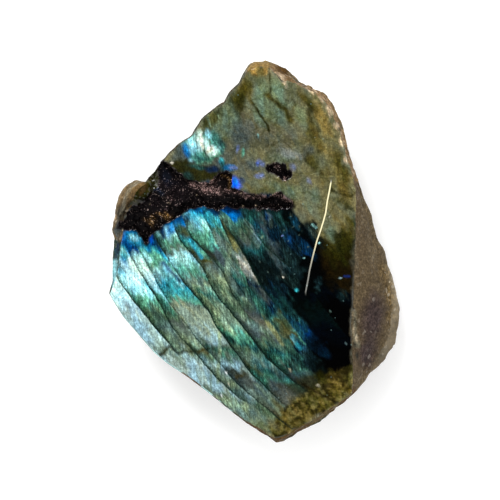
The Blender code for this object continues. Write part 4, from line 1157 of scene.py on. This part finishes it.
# Fibres: noise from -1 to 1 drawn out along a lean, in metres long and wide
fibre_sizes = {"Lean": -1.34, "Length": 0.005, "Width": 0.0003}
fibres, fibres_in, fibres_out = group("fibres", fibre_sizes, ("Streak",))
where = put(fibres, "ShaderNodeTexCoord").outputs["Object"]
lean = put(fibres, "ShaderNodeCombineXYZ", Z=fibres_in.outputs["Lean"])
stretch = put(fibres, "ShaderNodeCombineXYZ", X=fibres_in.outputs["Length"],
              Y=fibres_in.outputs["Width"], Z=fibres_in.outputs["Length"])
laid = put(fibres, "ShaderNodeMapping", vector_type="TEXTURE", Vector=where,
           Rotation=lean.outputs[0], Scale=stretch.outputs[0])
streak = put(fibres, "ShaderNodeTexNoise", Vector=laid.outputs[0], Scale=1.0, Detail=3.0,
             Roughness=0.6, Distortion=0.25)
feed(fibres, fibres_out.inputs["Streak"], ramp(fibres, streak.outputs["Fac"], 0.25, 0.75, -1.0, 1.0))


def streaks(tree, lean, length, width):
    """The fibres' noise, leaning by degrees, its fibres this long and wide in millimetres."""
    node = put(tree, "ShaderNodeGroup", node_tree=fibres, Lean=np.radians(lean),
               Length=length * METRES, Width=width * METRES)
    return node.outputs["Streak"]


# Polished face. Its contrast counts in doublings of the light it gives back.
STEEP_CONTRAST = 1.15     # fine fibres that stand nearly upright in the picture
SLANTED_CONTRAST = 0.6    # longer fibres along the lamellae
PATCH_CONTRAST = 0.9      # broad patches along the lamellae
CLOUD_CONTRAST = 0.18     # clouds, also where the stone has no fibres
MOTTLE_CONTRAST = 3.2
FINE_CONTRAST = 2.2
polished, tree, shader = new_material("polished_labradorite")
fibre = reading(tree, "fibre")
face_grain = grain_of(tree, 0.8)
contrast = product(tree, streaks(tree, -82, 2.6, 0.3), STEEP_CONTRAST)
contrast = added(tree, streaks(tree, -56, 4.0, 0.5), SLANTED_CONTRAST, contrast)
contrast = added(tree, streaks(tree, -52, 6.5, 2.4), PATCH_CONTRAST, contrast)
contrast = product(tree, contrast, fibre)
contrast = added(tree, streaks(tree, -70, 3.2, 2.2), CLOUD_CONTRAST, contrast)
contrast = swing(tree, face_grain["Mottle"], MOTTLE_CONTRAST, contrast)
contrast = swing(tree, face_grain["Fine"], FINE_CONTRAST, contrast)
colour = scaled(tree, reading(tree, "tint", "Color"), 0.82)
colour = scaled(tree, colour, arithmetic(tree, "POWER", 2.0, contrast))

# Warmer and cooler patches, and dark hairs between the fibres
warm_or_cool = ramp(tree, streaks(tree, -62, 6.0, 2.6), -0.6, 0.6)
hue = blend(tree, "MIX", warm_or_cool, (1.10, 1.01, 0.88, 1), (0.91, 0.99, 1.10, 1))
colour = blend(tree, "MULTIPLY", 1.0, colour, hue)
hairs = product(tree, ramp(tree, streaks(tree, -54, 9.0, 0.26), 0.42, 0.75), fibre, 0.6)
colour = blend(tree, "MULTIPLY", hairs, colour, (0.10, 0.22, 0.18, 1))

# Veins: thin dark lines that wander through the clear, unfibrous stone
vein_place = put(tree, "ShaderNodeTexCoord").outputs["Object"]
vein_noise = put(tree, "ShaderNodeTexNoise", Vector=vein_place, Scale=170.0, Detail=3.0,
                 Roughness=0.55, Distortion=0.8)
vein_off = arithmetic(tree, "ABSOLUTE", arithmetic(tree, "SUBTRACT", vein_noise.outputs["Fac"], 0.5))
clear = ramp(tree, fibre, 0.45, 0.2)
veins = product(tree, ramp(tree, vein_off, 0.05, 0.006), clear, 0.6)
colour = blend(tree, "MULTIPLY", veins, colour, (0.50, 0.50, 0.32, 1))

# Cracks: a dark line, most of it past the crack, and a shade that fades to the upper right
gap_now = reading(tree, "lane_gap")
crack_now = reading(tree, "crack")
part = arithmetic(tree, "FRACT", reading(tree, "lane"))
from_crack = swing(tree, face_grain["Fine"], 0.9, product(tree, part, gap_now))
to_crack = product(tree, arithmetic(tree, "SUBTRACT", 1.0, part), gap_now)
thick = added(tree, streaks(tree, -51, 2.0, 1.2), 0.2, 0.42)
past_crack = ramp(tree, from_crack, thick, 0.06)
before_crack = ramp(tree, to_crack, 0.18, 0.02)
core = arithmetic(tree, "ADD", past_crack, before_crack, clamp=True)
core = arithmetic(tree, "MULTIPLY", core, crack_now, clamp=True)
reach = added(tree, crack_now, 1.7, 0.6)
shade = ramp(tree, arithmetic(tree, "DIVIDE", from_crack, reach), 1.0, -0.35)
shade = arithmetic(tree, "MULTIPLY", shade, crack_now, clamp=True)
colour = blend(tree, "MULTIPLY", shade, colour, (0.08, 0.16, 0.12, 1))
colour = blend(tree, "MIX", product(tree, core, 0.9), colour, (0.003, 0.010, 0.007, 1))

# Flash fades as the stone is turned away from the eye
turned = put(tree, "ShaderNodeLayerWeight", Blend=0.5).outputs["Facing"]
faded = product(tree, ramp(tree, turned, 0.35, 0.9), reading(tree, "flash"), 0.6)
colour = blend(tree, "MULTIPLY", faded, colour, (0.30, 0.36, 0.36, 1))

# The pale scratch, warm where it is strong, and specks
scratch_off_now = arithmetic(tree, "ABSOLUTE", reading(tree, "scratch_off"))
scratch_now = reading(tree, "scratch_faint")
scratch_mask = product(tree, ramp(tree, scratch_off_now, 0.21, 0.08), scratch_now)
scratch_warmth = ramp(tree, scratch_now, 0.4, 1.0)
scratch_colour = blend(tree, "MIX", scratch_warmth, (0.42, 0.42, 0.38, 1), (0.74, 0.68, 0.42, 1))
colour = blend(tree, "MIX", scratch_mask, colour, scratch_colour)
speck_pigment = blend(tree, "ADD", 1.0, scaled(tree, colour, 1.3), (0.05, 0.09, 0.09, 1))
colour = blend(tree, "MIX", product(tree, face_grain["Specks"], 0.7), colour, speck_pigment)
feed(tree, shader.inputs["Base Color"], colour)
shader.inputs["Roughness"].default_value = 0.13
shader.inputs["Specular IOR Level"].default_value = 0.3
surface = put(tree, "ShaderNodeBump", Height=face_grain["Fine"], Strength=0.04, Distance=0.0002)
feed(tree, shader.inputs["Normal"], surface.outputs[0])

# Broken stone: mottled grain and small facets, stronger where it is crumbly
ROCK_MOTTLE_CONTRAST = 3.4
FACET_CONTRAST = 0.6
ROCK_FINE_CONTRAST = 3.6
broken, tree, shader = new_material("broken_labradorite")
crumbly = reading(tree, "fibre")
rock_grain = grain_of(tree, 1.0)
where = put(tree, "ShaderNodeTexCoord").outputs["Object"]
facets = put(tree, "ShaderNodeTexVoronoi", Vector=where, Scale=1300.0)
facet_pick = put(tree, "ShaderNodeSeparateColor", Color=facets.outputs["Color"]).outputs["Red"]
contrast = swing(tree, rock_grain["Mottle"], ROCK_MOTTLE_CONTRAST)
contrast = swing(tree, facet_pick, FACET_CONTRAST, contrast)
contrast = product(tree, contrast, added(tree, crumbly, 0.85, 0.15))
contrast = swing(tree, rock_grain["Fine"], ROCK_FINE_CONTRAST, contrast)
colour = scaled(tree, reading(tree, "tint", "Color"), 0.74)
colour = scaled(tree, colour, arithmetic(tree, "POWER", 2.0, contrast))

# Ridges are worn pale, grooves are darkened with painted shade, a few facets are painted
# pale as glints, and specks are lightened
wear_and_shade_now = reading(tree, "wear_and_shade")
pale = product(tree, ramp(tree, wear_and_shade_now, 0.15, 0.8), crumbly, 0.4)
colour = blend(tree, "MIX", pale, colour, (0.30, 0.26, 0.19, 1))
# Painted shade: grooves are darkened
deep = product(tree, ramp(tree, wear_and_shade_now, -0.1, -0.8), crumbly, 0.7)
colour = blend(tree, "MULTIPLY", deep, colour, (0.3, 0.27, 0.22, 1))
# Painted highlights: a few facets are painted pale as glints
glints = product(tree, ramp(tree, facet_pick, 0.94, 0.98), crumbly, 0.2)
colour = blend(tree, "MIX", glints, colour, (0.50, 0.46, 0.38, 1))
rock_specks = product(tree, rock_grain["Specks"], crumbly, 0.55)
colour = blend(tree, "MIX", rock_specks, colour, (0.42, 0.35, 0.25, 1))
feed(tree, shader.inputs["Base Color"], colour)
feed(tree, shader.inputs["Roughness"], ramp(tree, facet_pick, 0.3, 0.95, 0.62, 0.36))
shader.inputs["Specular IOR Level"].default_value = 0.03
height = added(tree, facets.outputs["Distance"], 0.8, rock_grain["Mottle"])
height = product(tree, height, added(tree, crumbly, 0.75, 0.25))
surface = put(tree, "ShaderNodeBump", Height=height, Strength=0.55, Distance=0.0003)
feed(tree, shader.inputs["Normal"], surface.outputs[0])

# Crumbs in the hollow: they show where the grit is high enough, over dark stone painted
# nearly black, partly as painted shade deep in the hollow
crumbs, tree, shader = new_material("hollow_crumbs")
colour = reading(tree, "tint", "Color")
thickly = reading(tree, "fibre")
crumb_grain = grain_of(tree, 0.7)
grit = added(tree, crumb_grain["Fine"], 1.3, crumb_grain["Mottle"])
shown = ramp(tree, added(tree, thickly, 0.42, grit), 1.38, 1.54)
paler = ramp(tree, crumb_grain["Fine"], 0.56, 0.78)
crumb_colour = blend(tree, "MIX", paler, colour, (0.36, 0.28, 0.24, 1))
# Between the crumbs the ground is painted nearly black: dark stone and painted shade
colour = blend(tree, "MIX", shown, scaled(tree, colour, 0.06), crumb_colour)
feed(tree, shader.inputs["Base Color"], colour)
shader.inputs["Roughness"].default_value = 0.6
shader.inputs["Specular IOR Level"].default_value = 0.04
surface = put(tree, "ShaderNodeBump", Height=crumb_grain["Mottle"], Strength=0.7, Distance=0.0004)
feed(tree, shader.inputs["Normal"], surface.outputs[0])

# The face is polished, all below its edge is broken, and the hollow's quads hold the crumbs
for material in (polished, broken, crumbs):
    stone_data.materials.append(material)
quad_row = np.repeat(np.arange(count - 1), SPOKES)
quad_material = np.where(quad_row < FACE_ROWS - 1, 0, 1)
quad_hollow = in_hollow[quads].sum(axis=1) >= 3
quad_material = np.where(quad_hollow & (quad_row < FACE_ROWS + SHOULDER_ROWS), 2, quad_material)
everything = np.r_[quad_material, np.zeros(SPOKES), np.ones(SPOKES)].astype(np.int32)
stone_data.polygons.foreach_set("material_index", everything)

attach(stone, "root")
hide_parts(NODE)

# Floor, lights and camera
# A white sheet under the stone, soft light from the upper left and all round, and a
# camera looking straight down through a dark opening overhead.
HALF_FLOOR = 3.0          # metres
floor_data = bpy.data.meshes.new("floor")
floor_data.from_pydata([(-HALF_FLOOR, -HALF_FLOOR, 0), (HALF_FLOOR, -HALF_FLOOR, 0),
                        (HALF_FLOOR, HALF_FLOOR, 0), (-HALF_FLOOR, HALF_FLOOR, 0)], [], [(0, 1, 2, 3)])
floor = bpy.data.objects.new("floor", floor_data)
bpy.context.scene.collection.objects.link(floor)

# The sheet gives a little light of its own, as if lit from below, so that its shadow is faint
paper, tree, shader = new_material("white_paper")
shader.inputs["Base Color"].default_value = (0.94, 0.94, 0.94, 1)
shader.inputs["Roughness"].default_value = 0.9
shader.inputs["Specular IOR Level"].default_value = 0.0
shader.inputs["Emission Color"].default_value = (1, 1, 1, 1)
shader.inputs["Emission Strength"].default_value = 0.14
floor_data.materials.append(paper)

# The dome grows brighter towards the top and has the dark opening there
world = bpy.data.worlds.new("light_tent")
world.use_nodes = True
bpy.context.scene.world = world
tree = world.node_tree
background = tree.nodes["Background"]
direction = put(tree, "ShaderNodeTexCoord")
upwards = put(tree, "ShaderNodeSeparateXYZ", Vector=direction.outputs["Generated"]).outputs["Z"]
dome = ramp(tree, upwards, 0.1, 0.9, 0.25, 1.75)
opening = ramp(tree, upwards, 0.985, 0.95)
feed(tree, background.inputs["Strength"], product(tree, dome, opening))
background.inputs["Color"].default_value = (1, 1, 1, 1)

KEY_PLACE = (-0.20, 0.44, 0.78)   # metres
KEY_SIZE = 0.30                   # metres
KEY_POWER = 4.2                   # watts
key_data = bpy.data.lights.new("soft_key", "AREA")
key_data.size = KEY_SIZE
key_data.energy = KEY_POWER
key = bpy.data.objects.new("soft_key", key_data)
key.location = KEY_PLACE
key.rotation_euler = key.location.to_track_quat("Z", "Y").to_euler()
bpy.context.scene.collection.objects.link(key)

# From the full distance the face would come out at exactly PICTURE_SCALE. The camera
# stands a little nearer than that, where the outline fits best.
CAMERA_LENS = 420.0
CAMERA_SENSOR = 36.0
NEARER = 0.9975
lens_distance = NEARER * 500 * PICTURE_SCALE * CAMERA_LENS / CAMERA_SENSOR
camera_data = bpy.data.cameras.new("camera")
camera_data.lens = CAMERA_LENS
camera_data.sensor_width = CAMERA_SENSOR
camera_data.clip_end = 20
camera = bpy.data.objects.new("camera", camera_data)
camera.location = ((250 - STONE_IN_PICTURE[0]) * PICTURE_SCALE * METRES,
                   (STONE_IN_PICTURE[1] - 250) * PICTURE_SCALE * METRES,
                   (THICKNESS + lens_distance) * METRES)
bpy.context.scene.collection.objects.link(camera)
bpy.context.scene.camera = camera
bpy.context.scene.view_settings.view_transform = "Standard"
